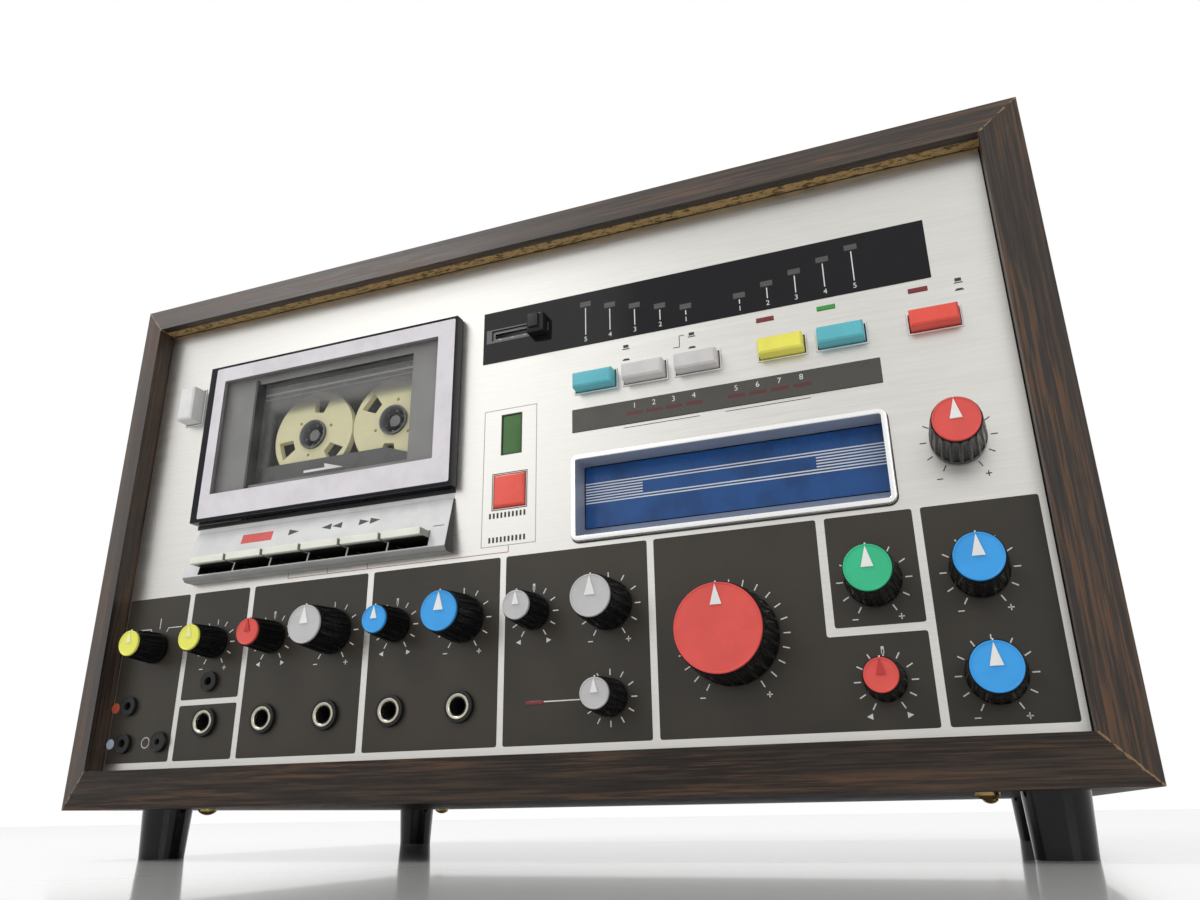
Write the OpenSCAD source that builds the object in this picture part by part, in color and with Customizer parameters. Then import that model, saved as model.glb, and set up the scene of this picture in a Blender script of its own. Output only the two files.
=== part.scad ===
// Eight-track cartridge player with a cassette recorder and a microphone mixer,
// in a wooden cabinet on four round feet. Millimetres.
// X runs to the right, Y from the front to the back, Z up. The origin lies on the
// floor under the middle of the overall box. Places on the front are given as
// X from the middle, depth behind the panel face, and height above the opening's
// lower edge.

/* [Cabinet] */
// Width of the cabinet's front opening
opening_w = 383; // [383:1:420]
// Height of the cabinet's front opening
opening_h = 209; // [204:1:240]
// Thickness of the cabinet boards
board_t = 15; // [12:0.5:20]
// Depth of the cabinet behind the panel face
cabinet_back = 267; // [250:1:320]
// How far the boards' inner front edge stands before the panel face
lip = 9; // [7:0.5:12]
// How far the boards' outer front edge is set back from the inner one
bevel = 5.3; // [0:0.1:7]
// Width of the strips glued in behind the front panel
front_cleat_w = 4.5; // [3:0.5:6]
// Width of the strips that the back cover is screwed to
rear_cleat_w = 12; // [10:0.5:16]
// Depth of both kinds of strip
cleat_l = 12; // [10:0.5:20]
// Thickness of the back cover
back_t = 3; // [2:0.5:6]
// How far the back cover lies inside the boards' rear edge
back_inset = 6; // [4:0.5:12]
// Width of each ventilation slot in the back cover
vent_w = 44; // [20:1:60]
// Height of each ventilation slot
vent_h = 4; // [3:0.5:6]

/* [Feet and fasteners] */
// Height of the feet
leg_h = 20; // [16:1:40]
// Radius of a foot where it meets the cabinet
leg_top_r = 10.3; // [8:0.1:14]
// Radius of a foot on the floor
leg_foot_r = 9.2; // [7:0.1:12]
// Distance of the feet from the middle, sideways
leg_x = 180; // [165:1:190]
// Distance of the front feet behind the panel face
leg_front = 28.5; // [20:0.5:60]
// Distance of the rear feet before the boards' rear edge
leg_rear = 32; // [25:0.5:60]
// Depth of the screw recess in a foot
leg_recess = 10; // [8:0.5:12]
// Radius of the shank of the foot screws and the base bolts
bolt_r = 2.2; // [1.5:0.1:2.5]
// Radius of the heads of the foot screws and the base bolts
bolt_head_r = 3.8; // [3.5:0.1:5]
// Distance of the base bolts from the middle, sideways
bolt_x = 160; // [130:1:164]
// Radius of the shank of the back cover screws
screw_r = 1.5; // [1:0.1:2]
// Radius of the heads of the back cover screws
screw_head_r = 3.2; // [2.5:0.1:4]

/* [Front panel] */
// Thickness of the front panel
panel_t = 2; // [1.5:0.1:3]
// Gap around the front panel and the back cover
panel_gap = 0.5; // [0.2:0.1:1]
// Distance between two knob columns
column = 30; // [29:0.1:31]
// Place of the first full column, from the middle
column_first = -138.5; // [-139:0.5:-138]
// Place of the leftmost knob, from the middle
mode_x = -171; // [-173:0.5:-170]
// Place of the echo and balance knobs
echo_x = 135.2; // [134:0.1:137]
// Place of the treble and bass knobs
tone_x = 168; // [167:0.1:169]
// Place of the master knob
master_x = 86.4; // [82:0.1:90]
// Height of the master knob
master_y = 36; // [32:0.1:38]
// Height of the upper knob row
row_high = 51; // [50:0.1:53]
// Height of the lower knob row and of the large sockets
row_low = 18.3; // [17:0.1:19]
// Height of the tape speed knob
speed_y = 96; // [92:0.5:100]

/* [Knobs] */
// Radius of the coloured disc of a small knob
small_cap = 5.3; // [4.5:0.1:6]
// Radius of a small knob at the panel
small_base = 6.7; // [6:0.1:8]
// Height of a small knob's fluted body
small_h = 15; // [12:0.5:20]
// Radius of the coloured disc of a large knob
large_cap = 7.5; // [6.5:0.1:8.5]
// Radius of a large knob at the panel
large_base = 9.2; // [8.5:0.1:11]
// Height of a large knob's fluted body
large_h = 18; // [14:0.5:22]
// Radius of the coloured disc of the master knob
master_cap = 14.8; // [12:0.1:16]
// Radius of the master knob at the panel
master_base = 16.6; // [16.5:0.1:18]
// Height of the master knob's fluted body
master_h = 19.5; // [14:0.1:22]
// Thickness of the coloured disc
cap_t = 1; // [0.6:0.1:1.6]
// How far the pointer stands proud of the disc
pointer_t = 0.5; // [0.3:0.1:1]
// Radius of every control shaft
shaft_r = 3; // [2.5:0.1:3.2]
// Running clearance of a shaft or pin in its bore
running = 0.05; // [0.02:0.01:0.09]

/* [Push buttons] */
// Width of a push button
button_w = 16.6; // [14:0.1:17.4]
// Height of a push button
button_h = 6.6; // [5:0.1:7]
// How far a push button stands out of the panel
button_out = 5.6; // [4:0.1:8]
// Travel of the push buttons
button_travel = 3; // [2:0.1:4]
// Height of the push button row
button_y = 141.3; // [140:0.1:143]
// Width of the eject button
eject_w = 8.4; // [7:0.1:9.4]
// Height of the eject button
eject_h = 16.6; // [14:0.1:20]
// How far the eject button stands out of the panel
eject_out = 7.4; // [5:0.1:9]
// Size of the square song search button
search_w = 13.6; // [10:0.1:15]
// Gap between a button and its opening
button_gap = 0.4; // [0.2:0.05:0.6]

/* [Sockets] */
// Radius of the bore of a large socket
jack_bore = 3.2; // [3.1:0.05:3.4]
// Radius of the bright sleeve of a large socket
jack_sleeve = 4.75; // [4.4:0.05:5]
// Radius of the black ring nut of a large socket
jack_nut = 5.85; // [5.5:0.05:7]
// How far the sockets stand out of the panel
jack_out = 1.8; // [1:0.1:3]
// Depth of a large socket's bore
jack_l = 30; // [25:1:34]
// Radius of the bore of a small socket
mini_bore = 1.8; // [1.75:0.05:2]
// Radius of the bore of the remote control socket
remote_bore = 1.3; // [1.25:0.05:1.5]
// Radius of a small socket's ring
mini_nut = 4.1; // [3.6:0.1:4.4]
// Depth of a small socket's bore
mini_l = 15; // [12:1:18]

/* [Display strips] */
// Left end of the level strip
level_x0 = -13.5; // [-15:0.1:-12]
// Right end of the level strip
level_x1 = 167.8; // [160:0.1:172]
// Lower edge of the level strip
level_y0 = 158.7; // [158.2:0.1:160]
// Height of the level strip
level_h = 24.2; // [22:0.1:26]
// Left end of the programme strip
prog_x0 = 27.5; // [26:0.1:29]
// Right end of the programme strip
prog_x1 = 146.5; // [140:0.1:150]
// Lower edge of the programme strip
prog_y0 = 120.9; // [119:0.1:122]
// Height of the programme strip
prog_h = 9.7; // [8:0.1:10.5]
// How far the strips stand proud of the panel
strip_out = 0.3; // [0.1:0.05:0.6]
// Travel of the slide control
slide_travel = 18; // [12:0.5:18.5]
// Width of the slide control's grip
grip_w = 7.5; // [6:0.1:9]
// Height of the slide control's grip
grip_h = 8.5; // [7:0.1:10]
// How far the grip stands out of the strip
grip_out = 7; // [5:0.1:9]

/* [Cassette door] */
// Left side of the door
door_x0 = -158; // [-159:0.1:-157]
// Right side of the door
door_x1 = -24; // [-24.5:0.1:-23.5]
// Lower edge of the door
door_y0 = 105.2; // [105:0.1:106]
// Height of the door
door_h = 77.2; // [76:0.1:80]
// How far the door stands out of the panel
door_out = 5; // [4.5:0.1:7]
// Thickness of the door's front and rim
door_t = 2; // [1.6:0.1:2.2]
// Width of the door's window
window_w = 115.6; // [110:0.1:118]
// Height of the door's window
window_h = 56.4; // [54:0.1:58]
// Width of the clear opening in the grey mask behind the window
mask_w = 83.6; // [80:0.1:88]
// Height of the clear opening in the mask
mask_h = 50; // [48:0.1:51]
// Distance of the tape hubs from each other
hub_pitch = 42.5; // [42.4:0.1:42.6]
// Middle between the tape hubs, from the middle of the cabinet
hub_x = -80.1; // [-80.6:0.1:-79.6]
// Height of the tape hubs
hub_y = 142.5; // [142.4:0.1:142.9]
// Width of a compact cassette
tape_w = 100.4; // [100:0.1:100.8]
// Height of a compact cassette
tape_h = 63.8; // [63.4:0.1:64]
// Thickness of a compact cassette
tape_t = 8.7; // [8.5:0.1:9]
// Thickness of a compact cassette over its head openings
tape_head_t = 12; // [11.5:0.1:12.2]
// Radius of the flanged tape reels
reel_r = 20.9; // [19:0.1:21]

/* [Piano keys] */
// Left side of the key housing
keys_x0 = -156; // [-157:0.1:-155]
// Right side of the key housing
keys_x1 = -24.5; // [-25:0.1:-24]
// Lower edge of the key housing
keys_y0 = 77.8; // [77:0.1:78]
// Upper edge of the key housing
keys_y1 = 100.8; // [98:0.1:100.9]
// How far the housing stands out at its lower edge
keys_out = 6.5; // [5.5:0.1:8]
// How far the housing stands out at its upper edge
keys_top_out = 0.8; // [0.5:0.1:2]
// Distance between two keys
key_pitch = 19.4; // [18.8:0.1:20]
// Width of a key
key_w = 18; // [15:0.1:18.2]
// Thickness of a key
key_t = 3; // [2:0.1:3.2]
// How far a key stands out of the panel
key_out = 12; // [9:0.1:15]
// Middle of the row of keys
key_mid_x = -90.2; // [-91:0.1:-89.5]
// Height of the keys
key_y = 85.2; // [84.8:0.1:85.6]
// Depth of the key pivot behind the panel face
key_pivot = 28; // [26:0.5:32]
// Radius of the key pivot rod
rod_r = 2; // [1.5:0.1:2.5]

/* [Cartridge slot] */
// Left side of the slot's frame
slot_x0 = 27.2; // [26.5:0.1:28]
// Right side of the slot's frame
slot_x1 = 146.3; // [145.5:0.1:147]
// Lower side of the slot's frame
slot_y0 = 76; // [75.5:0.1:77]
// Upper side of the slot's frame
slot_y1 = 110.7; // [110:0.1:111.5]
// Width of the frame's bright rim
rim_w = 2; // [1.5:0.1:2.4]
// How far the frame stands out of the panel
rim_out = 2; // [1:0.1:3]
// Depth of the flap behind the panel face
flap_depth = 8.3; // [7:0.1:10]
// Thickness of the flap
flap_t = 1.5; // [1:0.1:2]
// Rise of the frame's sloped lower wall
ramp = 5.2; // [3:0.1:6]
// Width of an eight-track cartridge
cartridge_w = 101.6; // [101:0.1:102]
// Thickness of an eight-track cartridge
cartridge_h = 22.2; // [22:0.1:22.6]
// How far the cartridge goes in behind the panel face
cartridge_in = 104; // [95:1:110]
// Radius of the cartridge capstan
capstan_r = 3; // [2:0.1:4]
// Radius of the cartridge flywheel
flywheel_r = 26; // [20:1:30]

/* [Hidden] */
$fn = 64;

// Small clearances
seat_gap = 0.1;         // a fixed piece in its cut-out
loose_gap = 0.3;        // a piece that moves past another
joint_gap = 0.02;       // between two plates that are screwed together
overshoot = 1;          // how far a cutter runs past the face it cuts

// The frame
knob_heads = cap_t + pointer_t;
front_reach = max(small_h, large_h, master_h) + knob_heads;
face_y = -(cabinet_back - front_reach) / 2;
floor_z = leg_h + board_t;
outer_w = opening_w + 2 * board_t;
cover_front = cabinet_back - back_inset - back_t;
bolt_front = leg_front + 2.5;
bolt_rear = cabinet_back - leg_rear - 3;
half_w = opening_w / 2;

// The places across the front are given for this width of opening. Some spread with the
// opening, others keep their distance from the nearer side board.
standard_w = 383;
function spread(x) = x * opening_w / standard_w;
function by_side(x) = x + sign(x) * (opening_w - standard_w) / 2;
foot_x = by_side(leg_x);
bolt_at = by_side(bolt_x);

// The cassette door with all that belongs to it, and the cartridge slot, move as wholes
door_shift = spread((door_x0 + door_x1) / 2) - (door_x0 + door_x1) / 2;
door_left = door_x0 + door_shift;
door_right = door_x1 + door_shift;
hubs = hub_x + door_shift;
housing_left = keys_x0 + door_shift;
housing_right = keys_x1 + door_shift;
keys_mid = key_mid_x + door_shift;
slot_shift = spread((slot_x0 + slot_x1) / 2) - (slot_x0 + slot_x1) / 2;
slot_left = slot_x0 + slot_shift;
slot_right = slot_x1 + slot_shift;
level_left = spread(level_x0);
level_right = spread(level_x1);
prog_left = prog_x0 + slot_shift;
prog_right = prog_x1 + slot_shift;

// Colours
walnut = [0.22, 0.17, 0.14];
aluminium = [0.8, 0.8, 0.78];
steel = [0.62, 0.63, 0.64];
brass = [0.72, 0.55, 0.25];
black = [0.05, 0.05, 0.055];
smoke = [0.12, 0.12, 0.13];
red = [0.85, 0.28, 0.25];
blue = [0.15, 0.55, 0.9];
green = [0.2, 0.72, 0.48];
yellow = [0.93, 0.94, 0.35];
grey = [0.72, 0.71, 0.71];
teal = [0.25, 0.65, 0.7];
cream = [0.92, 0.92, 0.86];
flap_blue = [0.08, 0.25, 0.5];
lavender = [0.85, 0.83, 0.87];

// Knob kinds: disc radius, base radius, body height, number of ribs, and the pointer's
// tip, foot and half width as shares of the disc's radius
SMALL = [small_cap, small_base, small_h, 14, 0.93, 0.02, 0.26];
LARGE = [large_cap, large_base, large_h, 18, 0.93, 0.02, 0.26];
MASTER = [master_cap, master_base, master_h, 24, 0.96, 0.5, 0.13];
rib_depth = 0.6;
rib_rim = 0.5;          // black rim left around the coloured disc
knob_float = 0.6;       // gap between a knob and the panel
knob_roof = 3;          // solid part of the body over the shaft
pot_r = 8;
pot_l = 9;
pot_floor = 1;
bush_r = 3.6;
bush_below = 0.2;       // the bushing ends this far below the panel face

// Places of the fifteen knobs
function column_x(i) = spread(column_first + i * column);
echo_at = spread(echo_x);
tone_at = spread(tone_x);
KNOBS = [
    [spread(mode_x), row_high], [column_x(0), row_high], [column_x(1), row_high],
    [column_x(2), row_high], [column_x(3), row_high], [column_x(4), row_high],
    [column_x(5), row_high], [column_x(6), row_high], [column_x(6), row_low],
    [spread(master_x), master_y], [echo_at, row_high], [echo_at, row_low],
    [tone_at, row_high], [tone_at, row_low], [tone_at, speed_y]
];

// Places of the sockets
JACKS = [for (i = [0:4]) [column_x(i), row_low]];
mini_x = spread(-181);
mini_low = 11.3;
MINIS = [[mini_x, 26.8], [mini_x, mini_low], [column_x(0), 34.8]];
REMOTE = [spread(-161.4), mini_low];
jack_body = 13;
mini_body = 8.4;
jack_wall = 2;

// Push buttons: left to right
BUTTONS = [for (x = [37.8, 58.6, 79.9, 112.4, 134.3, 166.6]) [spread(x), button_y]];
search_x = spread(0.2);
search_y = 100.8;
search_out = 1.2;
search_travel = 1.8;
eject_to_door = 11.3;    // from the eject button's middle to the door
eject_x = door_left - eject_to_door;
eject_y = 165.7;
stem_w = 6;
stem_h = 4;
edge_chamfer = 0.8;
cap_in = 3;             // how far a button's cap reaches behind the panel face
stem_l = 10;
switch_wall = 3;
switch_floor = 2;

// Lamps: middle x, middle height, width, height
LAMPS = [
    [spread(107), 154.6, 6.6, 1.8], [spread(129.9), 154.6, 6.6, 1.8],
    [spread(162.6), 154.6, 6.6, 1.8], [spread(12.1), 18.1, 6.9, 1.4],
    [spread(0.6), 125.1, 8.4, 16.8]
];
lamp_l = 6;
lens_sunk = 0.4;

// Slide control in the level strip
slide_in = 30.5;        // from the level strip's left end to the end of its slot
slide_x1 = level_left + slide_in;
slide_y = 171.4;
slide_slot_h = 4.8;
slide_recess = 1;
slide_stem = 1.8;
slide_rest_x = slide_x1 - grip_w / 2 - 0.5;
slide_x0 = slide_rest_x - slide_travel - grip_w / 2 - 0.5;

// Cassette door and bay
pivot_d = 3.6;
pivot_y = 104.5;
pivot_r = 1.2;
well_x0 = hubs - tape_w / 2 - 3.2;
well_x1 = hubs + tape_w / 2 + 3.2;
well_y0 = pivot_y - 3.3;
well_y1 = 173.3;
ear_r = 2.6;
arm_t = 1.2;
shelf_w = 5;            // ledge under each end of the cassette
arm_back = 13.5;
door_rest = 0.4;        // gap between the door's rim and the panel
mask_d = 1.5;           // the mask's front, before the panel face
mask_t = 1;
pane_sunk = 0.1;
pane_t = 1.5;
tape_mid = 6.5;         // middle plane of the cassette, behind the panel face
tape_bottom = hub_y - 34.5;
shell_wall = 1.1;
shell_edge = 2;
head_block_w = 66;
head_block_h = 16;
capstan_dx = 18;
capstan_y = 113.5;
capstan_slot = 8;
hub_hole = 7.3;
hub_r = 7;
hub_bore = 5.2;
hub_tooth = 1;
reel_t = 3.2;
reel_front = 3.6;
window_in = 8.5;        // inner radius of the three openings in a reel
window_out = 17.5;      // outer radius of the three openings
window_angle = 24;
spindle_r = 2.6;
spindle_wing = 3.3;
spindle_shaft = 1.5;
table_r = 9;
table_t = 2.5;
deck_d = 16;
deck_t = 1.5;
deck_side_t = 1.5;
deck_x0 = door_left - 2;
deck_x1 = door_right + 1.5;
deck_y1 = 180;
deck_y0 = 94;
bearing_r = 4;
head_half = 7;
head_front = 3.5;
head_back = 11;
fly_r = 20;
fly_t = 6;
fly_gap = 6;
capstan_small = 1.25;
motor_r = 15;
motor_l = 26;
pulley_r = 5;
belt_t = 1.2;
belt_w = 3;

// Piano keys
KEYS = 6;
key_slot_gap = 0.3;
key_swing = 4.5;
key_slot_drop = (key_out + key_pivot) * sin(key_swing);
hub_wall = 2.4;
key_open_x0 = keys_mid - (KEYS - 1) / 2 * key_pitch - key_w / 2 - 2;
key_open_x1 = keys_mid + (KEYS - 1) / 2 * key_pitch + key_w / 2 + 2;
lip_back = 1.6;         // the housing's underside slopes back by this much

// Cartridge deck
recess_x0 = slot_left + rim_w;
recess_x1 = slot_right - rim_w;
recess_y0 = slot_y0 + rim_w;
recess_y1 = slot_y1 - rim_w;
flap_x0 = recess_x0 + loose_gap;
flap_x1 = recess_x1 - loose_gap;
flap_pin_r = 1;
flap_pin_d = flap_depth + flap_t + 1.2;
flap_pin_y = recess_y1 + 1.4;
flap_ear = 2.2;
flap_low = recess_y0 + ramp + loose_gap;
bay_wall = 1.5;
frame_wall = 1.2;
bay_floor = recess_y0 + ramp - 0.5;
bay_roof = flap_pin_y + 3;
bay_front = 3.5;
bay_back = cartridge_in + 22;
guide_front = 42;
cartridge_x = (recess_x0 + recess_x1) / 2;
cart_gap = 0.7;
capstan_x = cartridge_x + 18;
capstan_d = cartridge_in + capstan_r + 1;
fly_low = 34;           // the flywheel's top lies this far below the bay's floor
fly_h = 9;
track_motor_r = 17;
track_motor_l = 31;
track_motor_x = cartridge_x - 30;
track_pulley_r = 6;
post_w = 8;

// Tray and amplifier
tray_t = 1.5;
tray_lip = 6;
amp_x0 = by_side(-178);
amp_x1 = by_side(-30);
amp_y0 = 150;
amp_l = 92;
board_thick = 1.6;
stand_h = 8;
stand_r = 3;
stand_inset = 8;
core_x = amp_x1 - 30;
core_w = 56;
core_l = 48;
core_h = 46;
coil_over = 12;
sink_w = 60;
sink_h = 40;
sink_fin = 1.5;
sink_pitch = 6;
can_r = 12;
can_h = 36;

// Mains inlet
inlet_x = by_side(140);
inlet_y = 32;
inlet_w = 26;
inlet_h = 18;
inlet_flange = 4;
inlet_l = 20;
inlet_wall = 2.5;
inlet_pin_r = 1.6;
inlet_pin_dx = 4.5;

// A block between two limits on each axis: X, depth behind the panel, height
module slab(x, d, h)
    translate([x[0], face_y + d[0], floor_z + h[0]])
        cube([x[1] - x[0], d[1] - d[0], h[1] - h[0]]);

// Children drawn flat on the panel: local Z points out of the panel
module on_panel(x, h)
    translate([x, face_y, floor_z + h]) rotate([90, 0, 0]) children();

// A plate on the panel face, centred, from low to high out of the panel
module plate(w, h, low, high)
    translate([-w / 2, -h / 2, low]) cube([w, h, high - low]);

// A round bar along X
module bar_x(x, d, h, r)
    translate([x[0], face_y + d, floor_z + h]) rotate([0, 90, 0])
        cylinder(h = x[1] - x[0], r = r);

// A round bar along Y, from depth d[0] to d[1]
module bar_y(x, d, h, r)
    translate([x, face_y + d[0], floor_z + h]) rotate([-90, 0, 0])
        cylinder(h = d[1] - d[0], r = r);

// A round bar along Z
module bar_z(x, d, h, r)
    translate([x, face_y + d, floor_z + h[0]]) cylinder(h = h[1] - h[0], r = r);

// ---------------------------------------------------------------- cabinet

// The mitred outline of the frame's upper board, seen from the front
module mitre_wedge(w, h) {
    top = [[-w / 2, 0], [w / 2, 0], [w / 2 + board_t, board_t], [-w / 2 - board_t, board_t]];
    translate([0, face_y + cabinet_back + overshoot, floor_z + h]) rotate([90, 0, 0])
        linear_extrude(cabinet_back + lip + 2 * overshoot) polygon(top);
}

// The bevelled section of a board, extruded over a length along X
module board_x(l)
    translate([-l / 2, face_y, floor_z + opening_h]) rotate([90, 0, 90]) linear_extrude(l)
        polygon([[-lip, 0], [bevel - lip, board_t], [cabinet_back, board_t], [cabinet_back, 0]]);

module cabinet_top()
    color(walnut) intersection() {
        board_x(outer_w);
        mitre_wedge(opening_w, opening_h);
    }

module cabinet_bottom()
    color(walnut) difference() {
        translate([0, 0, 2 * floor_z + opening_h]) mirror([0, 0, 1]) intersection() {
            board_x(outer_w);
            mitre_wedge(opening_w, opening_h);
        }
        for (s = [-1, 1]) {
            for (d = [bolt_front, bolt_rear])
                bar_z(s * bolt_at, d, [-board_t - overshoot, overshoot], bolt_r + seat_gap);
            for (d = [leg_front, cabinet_back - leg_rear])
                bar_z(s * foot_x, d, [-board_t - overshoot, -board_t + leg_recess], bolt_r);
        }
    }

module side_board() {
    h = opening_h + 2 * board_t;
    intersection() {
        translate([half_w, face_y, leg_h]) linear_extrude(h)
            polygon([[0, -lip], [board_t, bevel - lip], [board_t, cabinet_back], [0, cabinet_back]]);
        translate([half_w, face_y + cabinet_back + overshoot, floor_z]) rotate([90, 0, 0])
            linear_extrude(cabinet_back + lip + 2 * overshoot)
                polygon([[0, 0], [board_t, -board_t], [board_t, opening_h + board_t],
                         [0, opening_h]]);
    }
    cleat = [tray_t + loose_gap, opening_h - loose_gap];
    slab([half_w - front_cleat_w, half_w], [panel_t, panel_t + cleat_l], cleat);
    difference() {
        slab([half_w - rear_cleat_w, half_w], [cover_front - cleat_l, cover_front], cleat);
        for (h = screw_heights())
            bar_y(half_w - rear_cleat_w / 2, [cover_front - cleat_l / 2 - overshoot,
                                              cover_front + overshoot], h, screw_r);
    }
}

function screw_heights() = [for (k = [0:2]) 20 + k * (opening_h - 40) / 2];

module cabinet_left() color(walnut) mirror([1, 0, 0]) side_board();

module cabinet_right() color(walnut) side_board();

module back_cover()
    color([0.35, 0.25, 0.16]) difference() {
        slab([panel_gap - half_w, half_w - panel_gap], [cover_front, cover_front + back_t],
             [panel_gap, opening_h - panel_gap]);
        for (row = [0:8])
            for (col = [-2:2])
                translate([col * (vent_w + 14), 0, 0])
                    slab([-vent_w / 2, vent_w / 2],
                         [cover_front - overshoot, cover_front + back_t + overshoot],
                         [90 + row * 12, 90 + row * 12 + vent_h]);
        for (s = [-1, 1])
            for (h = screw_heights())
                bar_y(s * (half_w - rear_cleat_w / 2),
                      [cover_front - overshoot, cover_front + back_t + overshoot], h,
                      screw_r + seat_gap);
        slab([inlet_x - inlet_w / 2 - seat_gap, inlet_x + inlet_w / 2 + seat_gap],
             [cover_front - overshoot, cover_front + back_t + overshoot],
             [inlet_y - inlet_h / 2 - seat_gap, inlet_y + inlet_h / 2 + seat_gap]);
    }

module leg_at(x, d)
    translate([x, face_y + d, 0]) difference() {
        cylinder(h = leg_h, r1 = leg_foot_r, r2 = leg_top_r);
        translate([0, 0, -overshoot]) cylinder(h = leg_recess + overshoot, r = bolt_head_r + 0.3);
        cylinder(h = leg_h + overshoot, r = bolt_r + seat_gap);
    }

module legs()
    color(black)
        for (s = [-1, 1])
            for (d = [leg_front, cabinet_back - leg_rear])
                leg_at(s * foot_x, d);

// A screw that holds a foot, driven up from the recess in the foot
module leg_screw(x, d)
    translate([x, face_y + d, 0]) {
        translate([0, 0, leg_recess - 3]) cylinder(h = 3, r = bolt_head_r);
        translate([0, 0, leg_recess]) cylinder(h = leg_h, r = bolt_r - 0.02);
    }

// A bolt with a domed head under the cabinet and a nut on the tray
module base_bolt(x, d) {
    nut_z = floor_z + tray_t;
    dome_h = 2.6;
    rim_h = 1;
    dome_r = (bolt_head_r * bolt_head_r + (dome_h - rim_h) * (dome_h - rim_h)) / 2 / (dome_h - rim_h);
    translate([x, face_y + d, 0]) {
        translate([0, 0, leg_h - rim_h]) cylinder(h = rim_h, r = bolt_head_r);
        intersection() {
            translate([0, 0, leg_h - dome_h + dome_r]) sphere(r = dome_r);
            translate([0, 0, leg_h - dome_h]) cylinder(h = dome_h - rim_h, r = bolt_head_r);
        }
        translate([0, 0, leg_h]) cylinder(h = nut_z + 5 - leg_h, r = bolt_r);
        translate([0, 0, nut_z]) cylinder(h = 3, r = 2 * bolt_r, $fn = 6);
    }
}

module fasteners() {
    color(brass)
        for (s = [-1, 1])
            for (d = [bolt_front, bolt_rear])
                base_bolt(s * bolt_at, d);
    color(steel) {
        for (s = [-1, 1])
            for (d = [leg_front, cabinet_back - leg_rear])
                leg_screw(s * foot_x, d);
        for (s = [-1, 1])
            for (h = screw_heights()) {
                bar_y(s * (half_w - rear_cleat_w / 2),
                      [cover_front + back_t, cover_front + back_t + 2], h, screw_head_r);
                bar_y(s * (half_w - rear_cleat_w / 2),
                      [cover_front - cleat_l / 2, cover_front + back_t], h, screw_r - 0.02);
            }
    }
}

module mains_inlet()
    color(black) {
        back = cover_front + back_t;
        difference() {
            union() {
                slab([inlet_x - inlet_w / 2, inlet_x + inlet_w / 2],
                     [back - inlet_l, back], [inlet_y - inlet_h / 2, inlet_y + inlet_h / 2]);
                slab([inlet_x - inlet_w / 2 - inlet_flange, inlet_x + inlet_w / 2 + inlet_flange],
                     [back, back + 2.5],
                     [inlet_y - inlet_h / 2 - inlet_flange, inlet_y + inlet_h / 2 + inlet_flange]);
            }
            slab([inlet_x - inlet_w / 2 + inlet_wall, inlet_x + inlet_w / 2 - inlet_wall],
                 [back - inlet_l + inlet_wall, back + 2.5 + overshoot],
                 [inlet_y - inlet_h / 2 + inlet_wall, inlet_y + inlet_h / 2 - inlet_wall]);
        }
        for (s = [-1, 1])
            bar_y(inlet_x + s * inlet_pin_dx, [back - inlet_l + inlet_wall, back - 2], inlet_y,
                  inlet_pin_r);
    }

// ------------------------------------------------------------ front panel

module panel_hole_rect(x, h, w, t)
    on_panel(x, h) plate(w, t, -panel_t - overshoot, overshoot);

module panel_hole_range(x, h)
    slab(x, [-overshoot, panel_t + overshoot], h);

module panel_hole_round(p, r)
    on_panel(p[0], p[1]) translate([0, 0, -panel_t - overshoot])
        cylinder(h = panel_t + 2 * overshoot, r = r);

module front_panel()
    color(aluminium) difference() {
        slab([panel_gap - half_w, half_w - panel_gap], [0, panel_t],
             [panel_gap, opening_h - panel_gap]);
        for (p = KNOBS) panel_hole_round(p, bush_r + seat_gap);
        for (p = JACKS) panel_hole_round(p, jack_sleeve + seat_gap);
        for (p = concat(MINIS, [REMOTE])) panel_hole_round(p, mini_nut - 0.6 + seat_gap);
        for (p = BUTTONS)
            panel_hole_rect(p[0], p[1], button_w + 2 * button_gap, button_h + 2 * button_gap);
        for (p = LAMPS) panel_hole_rect(p[0], p[1], p[2] + 2 * seat_gap, p[3] + 2 * seat_gap);
        panel_hole_rect(search_x, search_y, search_w + 2 * button_gap, search_w + 2 * button_gap);
        panel_hole_rect(eject_x, eject_y, eject_w + 2 * button_gap, eject_h + 2 * button_gap);
        panel_hole_range([level_left - seat_gap, level_right + seat_gap],
                         [level_y0 - seat_gap, level_y0 + level_h + seat_gap]);
        panel_hole_range([prog_left - seat_gap, prog_right + seat_gap],
                         [prog_y0 - seat_gap, prog_y0 + prog_h + seat_gap]);
        panel_hole_range([well_x0, well_x1], [well_y0, well_y1]);
        panel_hole_range([key_open_x0, key_open_x1],
                         [key_y - key_t / 2 - key_slot_drop - 1, key_y + key_t / 2 + 3]);
        panel_hole_range([recess_x0 - frame_wall, recess_x1 + frame_wall],
                         [recess_y0 - frame_wall, recess_y1 + frame_wall]);
    }

// Black acrylic strips let into the panel; the long one holds the slide control
module display_strips()
    color(smoke) {
        difference() {
            slab([level_left, level_right], [-strip_out, panel_t], [level_y0, level_y0 + level_h]);
            slab([slide_x0, slide_x1], [-strip_out - overshoot, slide_recess - strip_out],
                 [slide_y - slide_slot_h / 2, slide_y + slide_slot_h / 2]);
            slab([slide_x0 + 1, slide_x1 - 1], [-overshoot, panel_t + overshoot],
                 [slide_y - slide_stem / 2 - loose_gap, slide_y + slide_stem / 2 + loose_gap]);
        }
        slab([prog_left, prog_right], [-strip_out, panel_t], [prog_y0, prog_y0 + prog_h]);
    }

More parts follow.
